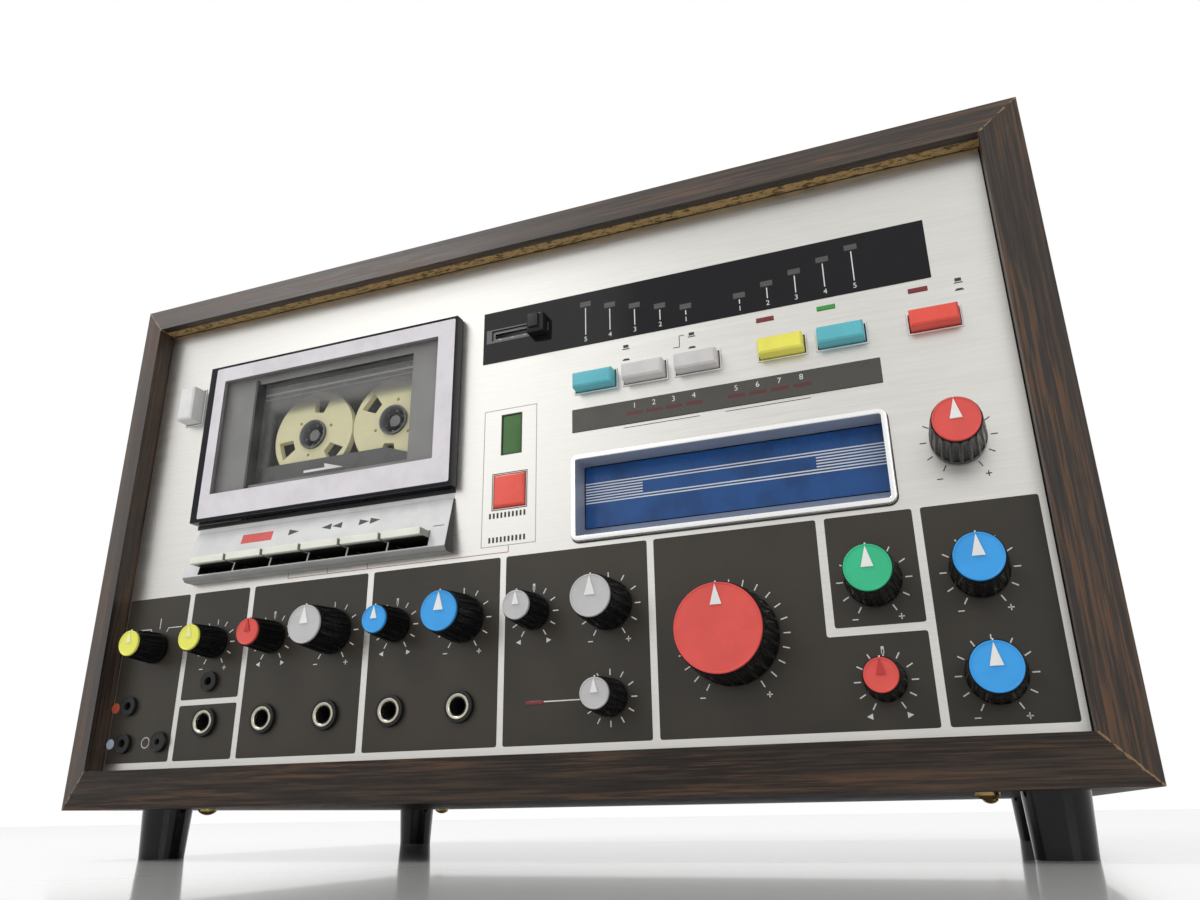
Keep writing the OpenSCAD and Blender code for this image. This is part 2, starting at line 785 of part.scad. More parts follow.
module lamp_lenses()
    for (i = [0:len(LAMPS) - 1]) {
        p = LAMPS[i];
        tint = i == 1 || i == 4 ? green : red;
        color(tint) on_panel(p[0], p[1]) {
            plate(p[2], p[3], -lamp_l, i == 4 ? -lens_sunk : strip_out);
            plate(p[2] + 2, p[3] + 2, -panel_t - 1, -panel_t);
        }
    }

// ---------------------------------------------------- knobs and their pots

// A ribbed outline
function ribs(r, n) = [
    for (i = [0:n - 1]) for (k = [0:3])
        let (a = (i + [-0.3, 0.3, 0.38, 0.62][k]) * 360 / n, q = k < 2 ? r : r - rib_depth)
        [q * sin(a), q * cos(a)]
];

// A knob at p: ribbed body, coloured disc with a raised pointer, and its shaft
module knob(p, kind, tint)
    on_panel(p[0], p[1]) {
        disc = kind[0];
        body_h = kind[2];
        color(black) difference() {
            translate([0, 0, knob_float])
                linear_extrude(height = body_h - knob_float, scale = (disc + rib_rim) / kind[1])
                    polygon(ribs(kind[1], kind[3]));
            translate([0, 0, -overshoot])
                cylinder(h = body_h - knob_roof + overshoot, r = shaft_r + running);
        }
        color(tint) translate([0, 0, body_h]) cylinder(h = cap_t, r = disc);
        color("white") translate([0, 0, body_h + cap_t]) linear_extrude(pointer_t)
            polygon([[0, disc * kind[4]], [disc * kind[6], disc * kind[5]],
                     [-disc * kind[6], disc * kind[5]]]);
        color(steel) translate([0, 0, -panel_t - pot_l + 2 * pot_floor])
            cylinder(h = body_h - knob_roof + panel_t + pot_l - 2 * pot_floor, r = shaft_r);
    }

module knob_mode() knob(KNOBS[0], SMALL, yellow);
module knob_earphone() knob(KNOBS[1], SMALL, yellow);
module knob_pan_one() knob(KNOBS[2], SMALL, red);
module knob_level_one() knob(KNOBS[3], LARGE, grey);
module knob_pan_two() knob(KNOBS[4], SMALL, blue);
module knob_level_two() knob(KNOBS[5], LARGE, blue);
module knob_pan_wireless() knob(KNOBS[6], SMALL, grey);
module knob_level_wireless() knob(KNOBS[7], LARGE, grey);
module knob_tuning() knob(KNOBS[8], SMALL, grey);
module knob_master() knob(KNOBS[9], MASTER, red);
module knob_echo() knob(KNOBS[10], LARGE, green);
module knob_balance() knob(KNOBS[11], SMALL, red);
module knob_treble() knob(KNOBS[12], LARGE, blue);
module knob_bass() knob(KNOBS[13], LARGE, blue);
module knob_speed() knob(KNOBS[14], LARGE, red);

// The rotary controls behind the panel, each with its bushing and three tags
module control_pots()
    color(steel)
        for (p = KNOBS)
            on_panel(p[0], p[1]) difference() {
                union() {
                    translate([0, 0, -panel_t - pot_l]) cylinder(h = pot_l, r = pot_r);
                    translate([0, 0, -panel_t - pot_l / 2])
                        cylinder(h = pot_l / 2 + panel_t - bush_below, r = bush_r);
                    for (k = [-1:1])
                        translate([k * 5 - 1, -pot_r - 3, -panel_t - 4]) cube([2, 5, 1]);
                }
                translate([0, 0, -panel_t - pot_l + pot_floor])
                    cylinder(h = pot_l + panel_t, r = shaft_r + running);
            }

// ---------------------------------------------------------------- sockets

// A socket with its ring nut, sleeve and body behind the panel
module socket(p, nut, sleeve, bore, l, body)
    on_panel(p[0], p[1]) difference() {
        union() {
            cylinder(h = jack_out, r = nut);
            translate([0, 0, -panel_t - overshoot])
                cylinder(h = panel_t + 2 * overshoot, r = sleeve);
            plate(body, body, jack_out - l - jack_wall, -panel_t);
        }
        translate([0, 0, jack_out - l]) cylinder(h = l + overshoot, r = bore);
    }

module jack_sockets()
    color(smoke) {
        for (p = JACKS) socket(p, jack_nut, jack_sleeve, jack_bore, jack_l, jack_body);
        for (p = MINIS) socket(p, mini_nut, mini_nut - 0.6, mini_bore, mini_l, mini_body);
        socket(REMOTE, mini_nut, mini_nut - 0.6, remote_bore, mini_l, mini_body);
    }

// ----------------------------------------------------------- push buttons

// The side view of a block whose front edges are chamfered
function chamfered(w, low, high, c) =
    [[-w / 2, low], [w / 2, low], [w / 2, high - c], [w / 2 - c, high], [c - w / 2, high],
     [-w / 2, high - c]];

// A block on the panel with all four front edges chamfered
module chamfered_block(w, h, low, high, c)
    intersection() {
        translate([0, h / 2, 0]) rotate([90, 0, 0]) linear_extrude(h)
            polygon(chamfered(w, low, high, c));
        translate([-w / 2, 0, 0]) rotate([90, 0, 90]) linear_extrude(w)
            polygon(chamfered(h, low, high, c));
    }

// A button cap with a chamfered front, and the stem that works its switch
module push_button(p, w, h, out)
    on_panel(p[0], p[1]) {
        chamfered_block(w, h, -cap_in, out, edge_chamfer);
        plate(stem_w, stem_h, -cap_in - stem_l, -cap_in);
    }

module button_select() color(teal) push_button(BUTTONS[0], button_w, button_h, button_out);
module button_four_eight() color(grey) push_button(BUTTONS[1], button_w, button_h, button_out);
module button_side() color(grey) push_button(BUTTONS[2], button_w, button_h, button_out);
module button_cue() color(yellow) push_button(BUTTONS[3], button_w, button_h, button_out);
module button_start() color(teal) push_button(BUTTONS[4], button_w, button_h, button_out);
module button_power() color(red) push_button(BUTTONS[5], button_w, button_h, button_out);
module button_search()
    color(red) push_button([search_x, search_y], search_w, search_w, search_out);
module button_eject() color(grey) push_button([eject_x, eject_y], eject_w, eject_h, eject_out);

// A switch that guides one button's stem
module switch_body(p, travel)
    on_panel(p[0], p[1]) difference() {
        w = stem_w + 2 * switch_wall;
        h = stem_h + 2 * switch_wall;
        front = -cap_in - travel - loose_gap;
        tail = -cap_in - stem_l - travel - loose_gap;
        plate(w, h, tail - switch_floor, front);
        plate(stem_w + 2 * seat_gap, stem_h + 2 * seat_gap, tail, front + overshoot);
    }

// A steel strip behind a row of switches, with legs that stand on the panel's back
module switch_strip(x, h, w, tall) {
    depth = cap_in + stem_l + button_travel + loose_gap + switch_floor;
    slab([x - w / 2, x + w / 2], [depth, depth + 1.5], [h - tall / 2, h + tall / 2]);
    for (s = [-1, 1])
        slab([x + s * (w / 2 - 1) - 1, x + s * (w / 2 - 1) + 1], [panel_t, depth],
             [h - tall / 2, h + tall / 2]);
}

module switch_bank() {
    color(steel) {
        switch_strip((BUTTONS[0][0] + BUTTONS[5][0]) / 2, button_y,
                     BUTTONS[5][0] - BUTTONS[0][0] + button_w + 4, 12);
        switch_strip(search_x, search_y, search_w + 8, 10);
        switch_strip(eject_x, eject_y, eject_w + 6, 10);
    }
    color(black) {
        for (p = BUTTONS) switch_body(p, button_travel);
        switch_body([search_x, search_y], button_travel);
        switch_body([eject_x, eject_y], button_travel);
        difference() {
            slab([slide_x0 - 3, slide_x1 + 3], [panel_t, panel_t + 7],
                 [slide_y - 5, slide_y + 5]);
            slab([slide_x0, slide_x1], [panel_t - overshoot, panel_t + 5],
                 [slide_y - slide_stem / 2 - loose_gap, slide_y + slide_stem / 2 + loose_gap]);
        }
    }
}

// The slide control's grip, with a waisted front and its stem
module slide_grip()
    color(black) {
        on_panel(slide_rest_x, slide_y) {
            chamfered_block(grip_w, grip_h, strip_out + loose_gap, strip_out + grip_out - 1.5, 1);
            plate(grip_w - 3, grip_h - 2.5, strip_out + grip_out - 1.5, strip_out + grip_out);
            plate(4, slide_stem, -panel_t - 4.5, strip_out + loose_gap);
        }
    }

// ------------------------------------------------------------- piano keys

// The sloped light housing, with one slot for each key
module key_housing()
    color(grey) difference() {
        translate([housing_left, face_y, floor_z]) rotate([90, 0, 90]) linear_extrude(housing_right - housing_left)
            polygon([[0, keys_y0], [lip_back - keys_out, keys_y0], [-keys_out, keys_y0 + lip_back],
                     [-keys_top_out, keys_y1], [0, keys_y1]]);
        for (i = [0:KEYS - 1])
            slab([key_x(i) - key_w / 2 - key_slot_gap, key_x(i) + key_w / 2 + key_slot_gap],
                 [-keys_out - overshoot, overshoot],
                 [key_y - key_t / 2 - key_slot_drop - loose_gap, key_y + key_t / 2 + loose_gap]);
    }

function key_x(i) = keys_mid + (i - (KEYS - 1) / 2) * key_pitch;

// A key bar that turns on the rod behind the panel
module piano_key(i)
    color(cream) difference() {
        union() {
            slab([key_x(i) - key_w / 2, key_x(i) + key_w / 2], [-key_out, key_pivot],
                 [key_y - key_t / 2, key_y + key_t / 2]);
            bar_x([key_x(i) - key_w / 2, key_x(i) + key_w / 2], key_pivot, key_y,
                  rod_r + hub_wall);
        }
        bar_x([key_x(i) - key_w / 2 - overshoot, key_x(i) + key_w / 2 + overshoot], key_pivot,
              key_y, rod_r + running);
    }

module key_stop() piano_key(0);
module key_record() piano_key(1);
module key_play() piano_key(2);
module key_rewind() piano_key(3);
module key_forward() piano_key(4);
module key_pause() piano_key(5);

// ---------------------------------------------------------- cassette door

function door_mid() = (door_left + door_right) / 2;
window_y0 = door_y0 + 12.6;
mask_y0 = window_y0 + 2.8;
mask_x = door_mid() + 1.7;
arm_left = hubs - tape_w / 2 - loose_gap - arm_t;
arm_right = hubs + tape_w / 2 + loose_gap;

// The door's front with its rim, the mask behind the window, and the two arms
// that hold the cassette and turn on the pivot rod
module door_cover()
    color(lavender) {
        inner_x = [door_left + door_t, door_right - door_t];
        inner_y = [door_y0 + door_t, door_y0 + door_h - door_t];
        difference() {
            slab([door_left, door_right], [-door_out, -door_rest], [door_y0, door_y0 + door_h]);
            slab(inner_x, [-door_out + door_t, -mask_d], inner_y);
            slab(inner_x, [-mask_d + mask_t, 0], inner_y);
            slab([door_mid() - window_w / 2, door_mid() + window_w / 2],
                 [-door_out - overshoot, -door_out + door_t + overshoot / 2],
                 [window_y0, window_y0 + window_h]);
            slab([mask_x - mask_w / 2, mask_x + mask_w / 2], [-mask_d - overshoot, 0],
                 [mask_y0, mask_y0 + mask_h]);
        }
        difference() {
            for (x = [arm_left, arm_right])
                union() {
                    slab([x, x + arm_t], [-door_out + door_t, arm_back],
                         [door_y0 + door_t, tape_bottom + tape_h + 0.4]);
                    bar_x([x, x + arm_t], pivot_d, pivot_y, ear_r);
                    slab([x, x + arm_t], [pivot_d, arm_back], [pivot_y, door_y0 + door_t]);
                    slab([x + (x == arm_left ? 0 : -shelf_w), x + arm_t + (x == arm_left ? shelf_w : 0)],
                         [pivot_d - 1, arm_back - 1],
                         [tape_bottom - loose_gap - arm_t, tape_bottom - loose_gap]);
                }
            bar_x([arm_left - overshoot, arm_right + arm_t + overshoot], pivot_d, pivot_y,
                  pivot_r + running);
        }
    }

module door_window()
    color([0.6, 0.62, 0.64, 0.35])
        slab([door_mid() - window_w / 2 + seat_gap, door_mid() + window_w / 2 - seat_gap],
             [-door_out + pane_sunk, -door_out + pane_sunk + pane_t],
             [window_y0 + seat_gap, window_y0 + window_h - seat_gap]);

// The loaded cassette: a hollow shell with its thicker head block
module cassette_shell()
    color(smoke) {
        x0 = hubs - tape_w / 2;
        x1 = hubs + tape_w / 2;
        front = tape_mid - tape_t / 2;
        back = tape_mid + tape_t / 2;
        difference() {
            union() {
                slab([x0, x1], [front, back], [tape_bottom, tape_bottom + tape_h]);
                slab([hubs - head_block_w / 2, hubs + head_block_w / 2],
                     [tape_mid - tape_head_t / 2, tape_mid + tape_head_t / 2],
                     [tape_bottom, tape_bottom + head_block_h]);
            }
            slab([x0 + shell_edge, x1 - shell_edge], [front + shell_wall, back - shell_wall],
                 [tape_bottom + head_block_h - 3, tape_bottom + tape_h - shell_edge]);
            for (s = [-1, 1]) {
                bar_y(hubs + s * hub_pitch / 2, [front - overshoot, back + overshoot], hub_y,
                      hub_hole);
                slab([hubs + s * capstan_dx - capstan_slot / 2,
                      hubs + s * capstan_dx + capstan_slot / 2],
                     [front - 2 * overshoot, back + 3 * overshoot],
                     [tape_bottom - overshoot, capstan_y + 6]);
            }
        }
    }

// A flanged reel with three openings and a toothed hub
module tape_reel(s)
    translate([hubs + s * hub_pitch / 2, face_y + reel_front, floor_z + hub_y])
        rotate([-90, 0, 0]) {
            difference() {
                union() {
                    cylinder(h = reel_t, r = reel_r);
                    translate([0, 0, -1]) cylinder(h = 6.5, r = hub_r);
                }
                translate([0, 0, -2]) cylinder(h = 9, r = hub_bore);
                for (k = [0:2])
                    rotate([0, 0, 120 * k + 30]) translate([0, 0, -overshoot])
                        linear_extrude(reel_t + 2 * overshoot)
                            polygon([for (q = [[window_in, -1], [window_out, -1], [window_out, 1],
                                               [window_in, 1]])
                                     let (w = q[0] == window_in ? 15 : window_angle)
                                     [q[0] * cos(q[1] * w), q[0] * sin(q[1] * w)]]);
            }
            for (k = [0:5])
                rotate([0, 0, 60 * k]) translate([hub_bore - hub_tooth, -0.4, 1])
                    cube([hub_tooth + 0.5, 0.8, 3]);
        }

module reel_left() color(yellow) tape_reel(-1);
module reel_right() color(yellow) tape_reel(1);

// A drive spindle: three-winged tip, reel table and the shaft in the deck plate
module spindle(s)
    color(cream) translate([hubs + s * hub_pitch / 2, face_y, floor_z + hub_y])
        rotate([-90, 0, 0]) {
            tip = tape_mid - 2;
            table = deck_d - table_t - loose_gap;
            translate([0, 0, tip]) cylinder(h = table - tip, r = spindle_r);
            for (k = [0:2])
                rotate([0, 0, 120 * k + 30]) translate([0, -0.5, tip + 1])
                    cube([spindle_wing, 1, table - tip - 1]);
            translate([0, 0, table]) cylinder(h = table_t, r = table_r);
            translate([0, 0, table + table_t]) cylinder(h = deck_t + loose_gap + 1.5, r = spindle_shaft);
        }

module spindle_left() spindle(-1);
module spindle_right() spindle(1);

// ---------------------------------------------------------- cassette deck

fly_d = deck_d + deck_t + fly_gap;
cas_x = hubs + capstan_dx;
cas_motor_x = hubs - 46;
cas_motor_y = 122;
cas_pulley_d = fly_d + (fly_t - belt_w) / 2;
motor_d = fly_d + fly_t + 2;

// A ring of belt round one wheel, and the half space past a line through its centre
module belt_ring(r)
    difference() {
        cylinder(h = belt_w, r = r + loose_gap + belt_t);
        translate([0, 0, -overshoot]) cylinder(h = belt_w + 2 * overshoot, r = r + loose_gap);
    }

module belt_side(r, turn, gap)
    rotate([0, 0, turn]) translate([gap, -3 * r, -overshoot])
        cube([3 * r, 6 * r, belt_w + 2 * overshoot]);

// Two arcs and two straight runs of a belt round wheels l apart
module belt(r1, r2, l) {
    slope = asin((r1 - r2) / l);
    difference() {
        belt_ring(r1);
        intersection() {
            belt_side(r1, -slope, -joint_gap);
            belt_side(r1, slope, -joint_gap);
        }
    }
    translate([l, 0, 0]) intersection() {
        belt_ring(r2);
        belt_side(r2, -slope, joint_gap);
        belt_side(r2, slope, joint_gap);
    }
    for (side = [0, 1])
        mirror([0, side, 0]) rotate([0, 0, -slope]) translate([0, r1 + loose_gap, 0])
            cube([l * cos(slope), belt_t, belt_w]);
}

// Plate, side plates, pivot rods, head, motor with its pulley, bearing and belt
module cassette_deck() {
    gap_x = cas_motor_x - cas_x;
    gap_y = cas_motor_y - capstan_y;
    inside = [deck_x0 + deck_side_t + joint_gap, deck_x1 - deck_side_t - joint_gap];
    back = deck_d + deck_t;
    color(steel) {
        difference() {
            slab(inside, [deck_d, back], [deck_y0, deck_y1]);
            for (s = [-1, 1])
                bar_y(hubs + s * hub_pitch / 2, [deck_d - overshoot, back + overshoot], hub_y,
                      spindle_shaft + running);
            bar_y(cas_x, [deck_d - overshoot, back + overshoot], capstan_y, bearing_r + joint_gap);
        }
        difference() {
            bar_y(cas_x, [deck_d, fly_d - loose_gap], capstan_y, bearing_r);
            bar_y(cas_x, [deck_d - overshoot, fly_d], capstan_y, capstan_small + running);
        }
        for (x = [deck_x0, deck_x1 - deck_side_t])
            slab([x, x + deck_side_t], [panel_t, key_pivot + 6], [key_y - 6, deck_y1]);
        bar_x([inside[0], arm_left + arm_t + 1], pivot_d, pivot_y, pivot_r);
        bar_x([arm_right - 1, inside[1]], pivot_d, pivot_y, pivot_r);
        bar_x(inside, key_pivot, key_y, rod_r);
        for (q = [[-1, -1], [-1, 1], [1, 1]])
            bar_y(cas_motor_x + q[0] * motor_r, [back + joint_gap, motor_d - joint_gap],
                  cas_motor_y + q[1] * motor_r, 2.5);
        slab([cas_motor_x - motor_r - 4, cas_motor_x + motor_r + 4], [motor_d, motor_d + 1.5],
             [cas_motor_y - motor_r - 4, cas_motor_y + motor_r + 4]);
        slab([hubs - head_half, hubs + head_half], [head_front, head_back],
             [pivot_y - 8, tape_bottom - 1.2]);
        slab([hubs - head_half - 2, hubs + head_half + 2],
             [head_back + joint_gap, deck_d - joint_gap], [pivot_y - 8, tape_bottom - 6]);
    }
    color(black) {
        bar_y(cas_motor_x, [motor_d + 1.5 + joint_gap, motor_d + 1.5 + motor_l], cas_motor_y,
              motor_r);
        bar_y(cas_motor_x, [fly_d - 2, motor_d - joint_gap], cas_motor_y, pulley_r);
        translate([cas_x, face_y + cas_pulley_d, floor_z + capstan_y]) rotate([90, 0, 0])
            rotate([0, 0, atan2(gap_y, gap_x)]) translate([0, 0, -belt_w])
                belt(fly_r, pulley_r, norm([gap_x, gap_y]));
    }
}

module cassette_flywheel()
    color(brass) {
        bar_y(cas_x, [fly_d, fly_d + fly_t], capstan_y, fly_r);
        bar_y(cas_x, [tape_mid - 2, fly_d], capstan_y, capstan_small);
    }

// --------------------------------------------------------- cartridge slot

// The bright frame, with a recess whose lower wall slopes up to the flap
module slot_frame()
    color(aluminium) difference() {
        union() {
            slab([slot_left, slot_right], [-rim_out, 0], [slot_y0, slot_y1]);
            slab([recess_x0 - frame_wall + seat_gap, recess_x1 + frame_wall - seat_gap],
                 [0, flap_depth - loose_gap],
                 [recess_y0 - frame_wall + seat_gap, recess_y1 + frame_wall - seat_gap]);
        }
        translate([recess_x0, face_y, floor_z]) rotate([90, 0, 90])
            linear_extrude(recess_x1 - recess_x0)
                polygon([[-rim_out - overshoot, recess_y0], [-rim_out, recess_y0],
                         [flap_depth, recess_y0 + ramp], [flap_depth + overshoot, recess_y0 + ramp],
                         [flap_depth + overshoot, recess_y1], [-rim_out - overshoot, recess_y1]]);
    }

// The flap: a plate with two ears that turn on pins in the bay's side walls
module track_flap()
    color(flap_blue) {
        slab([flap_x0, flap_x1], [flap_depth, flap_depth + flap_t], [flap_low, recess_y1 - loose_gap]);
        difference() {
            for (x = [flap_x0, flap_x1 - flap_ear])
                union() {
                    bar_x([x, x + flap_ear], flap_pin_d, flap_pin_y, flap_pin_r + 1.4);
                    slab([x, x + flap_ear], [flap_depth + 0.2, flap_pin_d + flap_pin_r + 0.9],
                         [recess_y1 - 4, flap_pin_y]);
                }
            bar_x([flap_x0 - overshoot, flap_x1 + overshoot], flap_pin_d, flap_pin_y,
                  flap_pin_r + running);
        }
    }

// The bay that the cartridge slides into, with guides, head, motor, belt and posts
module track_deck() {
    x0 = recess_x0 - 0.4;
    x1 = recess_x1 + 0.4;
    bay = [x0 - bay_wall, x1 + bay_wall];
    guide_in = cartridge_w / 2 + cart_gap;
    fly_top = bay_floor - bay_wall - fly_low;
    motor_gap = track_motor_x - capstan_x;
    motor_low = bay_floor - bay_wall - track_motor_l;
    under = bay_floor - bay_wall;
    walls = [bay_floor + joint_gap, bay_roof - joint_gap];
    color(steel) {
        difference() {
            slab(bay, [flap_depth + overshoot, bay_back], [under, bay_floor]);
            bar_z(capstan_x, capstan_d, [under - overshoot, bay_floor + overshoot],
                  capstan_r + running);
        }
        difference() {
            bar_z(capstan_x, capstan_d, [fly_top + loose_gap, under - joint_gap], 7);
            bar_z(capstan_x, capstan_d, [fly_top, under], capstan_r + running);
        }
        slab(bay, [bay_front + 6, bay_back], [bay_roof, bay_roof + bay_wall]);
        for (x = [bay[0], x1])
            slab([x, x + bay_wall], [flap_depth + overshoot, bay_back - bay_wall - joint_gap], walls);
        slab(bay, [bay_back - bay_wall, bay_back], walls);
        for (x = [[x0 + joint_gap, cartridge_x - guide_in], [cartridge_x + guide_in, x1 - joint_gap]])
            slab(x, [guide_front, cartridge_in + 2], [walls[0], bay_floor + cartridge_h]);
        for (x = [[x0 + joint_gap, x0 + 1.5], [x1 - 1.5, x1 - joint_gap]])
            bar_x(x, flap_pin_d, flap_pin_y, flap_pin_r);
        for (x = [bay[0], bay[1] - post_w])
            for (d = [22, bay_back - post_w])
                slab([x, x + post_w], [d, d + post_w], [tray_t, under - joint_gap]);
        slab([cartridge_x - 26, cartridge_x - 4],
             [cartridge_in + 3, bay_back - bay_wall - joint_gap], [walls[0], bay_floor + 18]);
    }
    color(black) {
        bar_z(track_motor_x, capstan_d, [fly_top - fly_h - 1, motor_low], track_pulley_r);
        bar_z(track_motor_x, capstan_d, [motor_low + joint_gap, under - joint_gap],
              track_motor_r);
        translate([capstan_x, face_y + capstan_d, floor_z + fly_top - fly_h / 2 - belt_w / 2])
            rotate([0, 0, 180]) belt(flywheel_r, track_pulley_r, abs(motor_gap));
    }
}

module track_flywheel()
    color(brass) {
        top = bay_floor - bay_wall - fly_low;
        bar_z(capstan_x, capstan_d, [top - fly_h, top], flywheel_r);
        bar_z(capstan_x, capstan_d, [top, bay_floor + cartridge_h - 2], capstan_r);
    }

// ------------------------------------------------------ tray and amplifier

// The steel tray on the cabinet floor; its front lip stands behind the panel
module chassis_tray()
    color(steel) difference() {
        union() {
            slab([loose_gap - half_w, half_w - loose_gap], [panel_t, cover_front - loose_gap],
                 [0, tray_t]);
            slab([front_cleat_w - half_w + 1, half_w - front_cleat_w - 1],
                 [panel_t, panel_t + tray_t], [0, tray_lip]);
        }
        for (s = [-1, 1])
            for (d = [bolt_front, bolt_rear])
                bar_z(s * bolt_at, d, [-overshoot, tray_t + overshoot], bolt_r + seat_gap);
    }

// Circuit board on four pillars, with transformer, heat sink and capacitors
module amplifier_unit() {
    deck = tray_t + stand_h;
    top = deck + board_thick;
    back = amp_y0 + amp_l;
    sink_y = back - 30;
    color([0.15, 0.4, 0.2]) slab([amp_x0, amp_x1], [amp_y0, back], [deck, top]);
    color(steel) {
        for (x = [amp_x0 + stand_inset, amp_x1 - stand_inset])
            for (d = [amp_y0 + stand_inset, back - stand_inset])
                bar_z(x, d, [tray_t, deck], stand_r);
        slab([core_x - core_w / 2, core_x + core_w / 2], [amp_y0 + 20, amp_y0 + 20 + core_l],
             [top, top + core_h]);
        slab([amp_x0 + 6, amp_x0 + 6 + sink_w], [sink_y, sink_y + 4], [top, top + sink_h]);
        for (x = [amp_x0 + 6:sink_pitch:amp_x0 + sink_w + 4])
            slab([x, x + sink_fin], [sink_y + 4, sink_y + 16], [top, top + sink_h]);
    }
    color([0.75, 0.55, 0.2])
        for (s = [[amp_y0 + 20 - coil_over, amp_y0 + 20],
                  [amp_y0 + 20 + core_l, amp_y0 + 20 + core_l + coil_over]])
            slab([core_x - core_w / 2 + 10, core_x + core_w / 2 - 10], s,
                 [top, top + core_h - 8]);
    color(black)
        for (k = [0:1])
            bar_z(amp_x0 + 22 + k * 30, amp_y0 + 24, [top, top + can_h], can_r);
}

cabinet_top();
cabinet_bottom();
cabinet_left();
cabinet_right();
back_cover();
legs();
fasteners();
mains_inlet();
front_panel();
chassis_tray();
amplifier_unit();
control_pots();
switch_bank();
jack_sockets();
lamp_lenses();
display_strips();
key_housing();
slot_frame();
cassette_deck();
track_deck();
knob_mode();
knob_earphone();
knob_pan_one();
knob_level_one();
knob_pan_two();
knob_level_two();
knob_pan_wireless();
knob_level_wireless();
knob_tuning();
knob_master();
knob_echo();
knob_balance();
knob_treble();
knob_bass();
knob_speed();
key_stop();
key_record();
key_play();
key_rewind();
key_forward();
key_pause();
button_select();
button_four_eight();
button_side();
button_cue();
button_start();
button_power();
button_search();
button_eject();
slide_grip();
door_cover();
door_window();
cassette_shell();
reel_left();
reel_right();
spindle_left();
spindle_right();
cassette_flywheel();
track_flywheel();
track_flap();
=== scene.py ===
"""The looks of an eight-track player with a cassette recorder and a microphone mixer.

Places on the front are given in millimetres: x from the middle, h above the lower edge of the
cabinet's front opening, and out in front of the panel face. A box is (left, right, low, high).
"""

from math import cos, hypot, pi, radians, sin

import bmesh
import bpy
from mathutils import Euler, Matrix, Vector
from mathutils.geometry import tessellate_polygon


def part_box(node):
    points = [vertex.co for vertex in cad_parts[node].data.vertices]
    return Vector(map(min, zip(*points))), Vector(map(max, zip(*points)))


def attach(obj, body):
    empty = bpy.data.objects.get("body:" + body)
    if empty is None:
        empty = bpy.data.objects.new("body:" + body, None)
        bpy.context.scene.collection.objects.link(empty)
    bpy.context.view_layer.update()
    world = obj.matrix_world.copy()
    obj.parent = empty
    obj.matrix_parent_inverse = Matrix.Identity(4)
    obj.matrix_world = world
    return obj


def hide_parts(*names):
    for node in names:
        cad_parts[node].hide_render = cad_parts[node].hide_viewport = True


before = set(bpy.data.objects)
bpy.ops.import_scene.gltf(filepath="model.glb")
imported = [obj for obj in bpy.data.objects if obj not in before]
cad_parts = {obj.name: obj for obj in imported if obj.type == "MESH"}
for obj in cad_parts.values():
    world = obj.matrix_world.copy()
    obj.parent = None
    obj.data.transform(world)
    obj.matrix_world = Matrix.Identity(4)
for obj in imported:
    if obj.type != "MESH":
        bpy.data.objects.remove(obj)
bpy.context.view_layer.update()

MM = 0.001
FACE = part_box("front_panel")[0][1]          # y of the panel's face
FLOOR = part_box("cabinet_bottom")[1][2]      # z of the opening's lower edge
OPENING_W, OPENING_H = 383, 209


def spot(x, h, out=0.0):
    """A place on the front, in metres."""
    return Vector((x * MM, FACE - out * MM, FLOOR + h * MM))


# ---------------------------------------------------------------- materials

def maths(operation, swapped=False):
    """An operator that adds a Math node; swapped puts the other operand first."""
    def operator(self, other=0.0):
        first, second = (other, self) if swapped else (self, other)
        return self.nodes.node("Math", {"operation": operation}, {0: first, 1: second})
    return operator


class Value:
    """An output of a node, with the operators that the materials use."""

    def __init__(self, nodes, socket):
        self.nodes, self.socket = nodes, socket

    __add__ = __radd__ = maths("ADD")
    __sub__ = maths("SUBTRACT")
    __rsub__ = maths("SUBTRACT", swapped=True)
    __mul__ = __rmul__ = maths("MULTIPLY")
    __gt__ = maths("GREATER_THAN")
    __lt__ = maths("LESS_THAN")
    __abs__ = maths("ABSOLUTE")
    most = maths("MAXIMUM")

    def between(self, low, high, start=0.0, end=1.0):
        """Rises smoothly from start to end as the value goes from low to high."""
        return self.nodes.node("MapRange", {"interpolation_type": "SMOOTHSTEP"},
                               {0: self, 1: low, 2: high, 3: start, 4: end})


class Nodes:
    """A node tree, and the one way in which nodes are added to it."""

    def __init__(self, tree):
        self.tree = tree

    def put(self, socket, value):
        """Links a value to a socket, or writes a number, colour or vector on it."""
        if isinstance(value, Value):
            self.tree.links.new(value.socket, socket)
        elif socket.type == "RGBA":
            socket.default_value = (*value, 1)
        else:
            socket.default_value = value

    def node(self, kind, settings, sockets, output=0):
        """Adds a node: its settings first, then the values or links of its sockets."""
        node = self.tree.nodes.new("ShaderNode" + kind)
        for name, value in settings.items():
            if name == "stops":
                ramp = node.color_ramp.elements
                while len(ramp) < len(value):
                    ramp.new(0.5)
                for element, (place, colour) in zip(ramp, value):
                    element.position, element.color = place, (*colour, 1)
            else:
                setattr(node, name, value)
        for key, value in sockets.items():
            self.put(node.inputs[key], value)
        return Value(self, node.outputs[output])


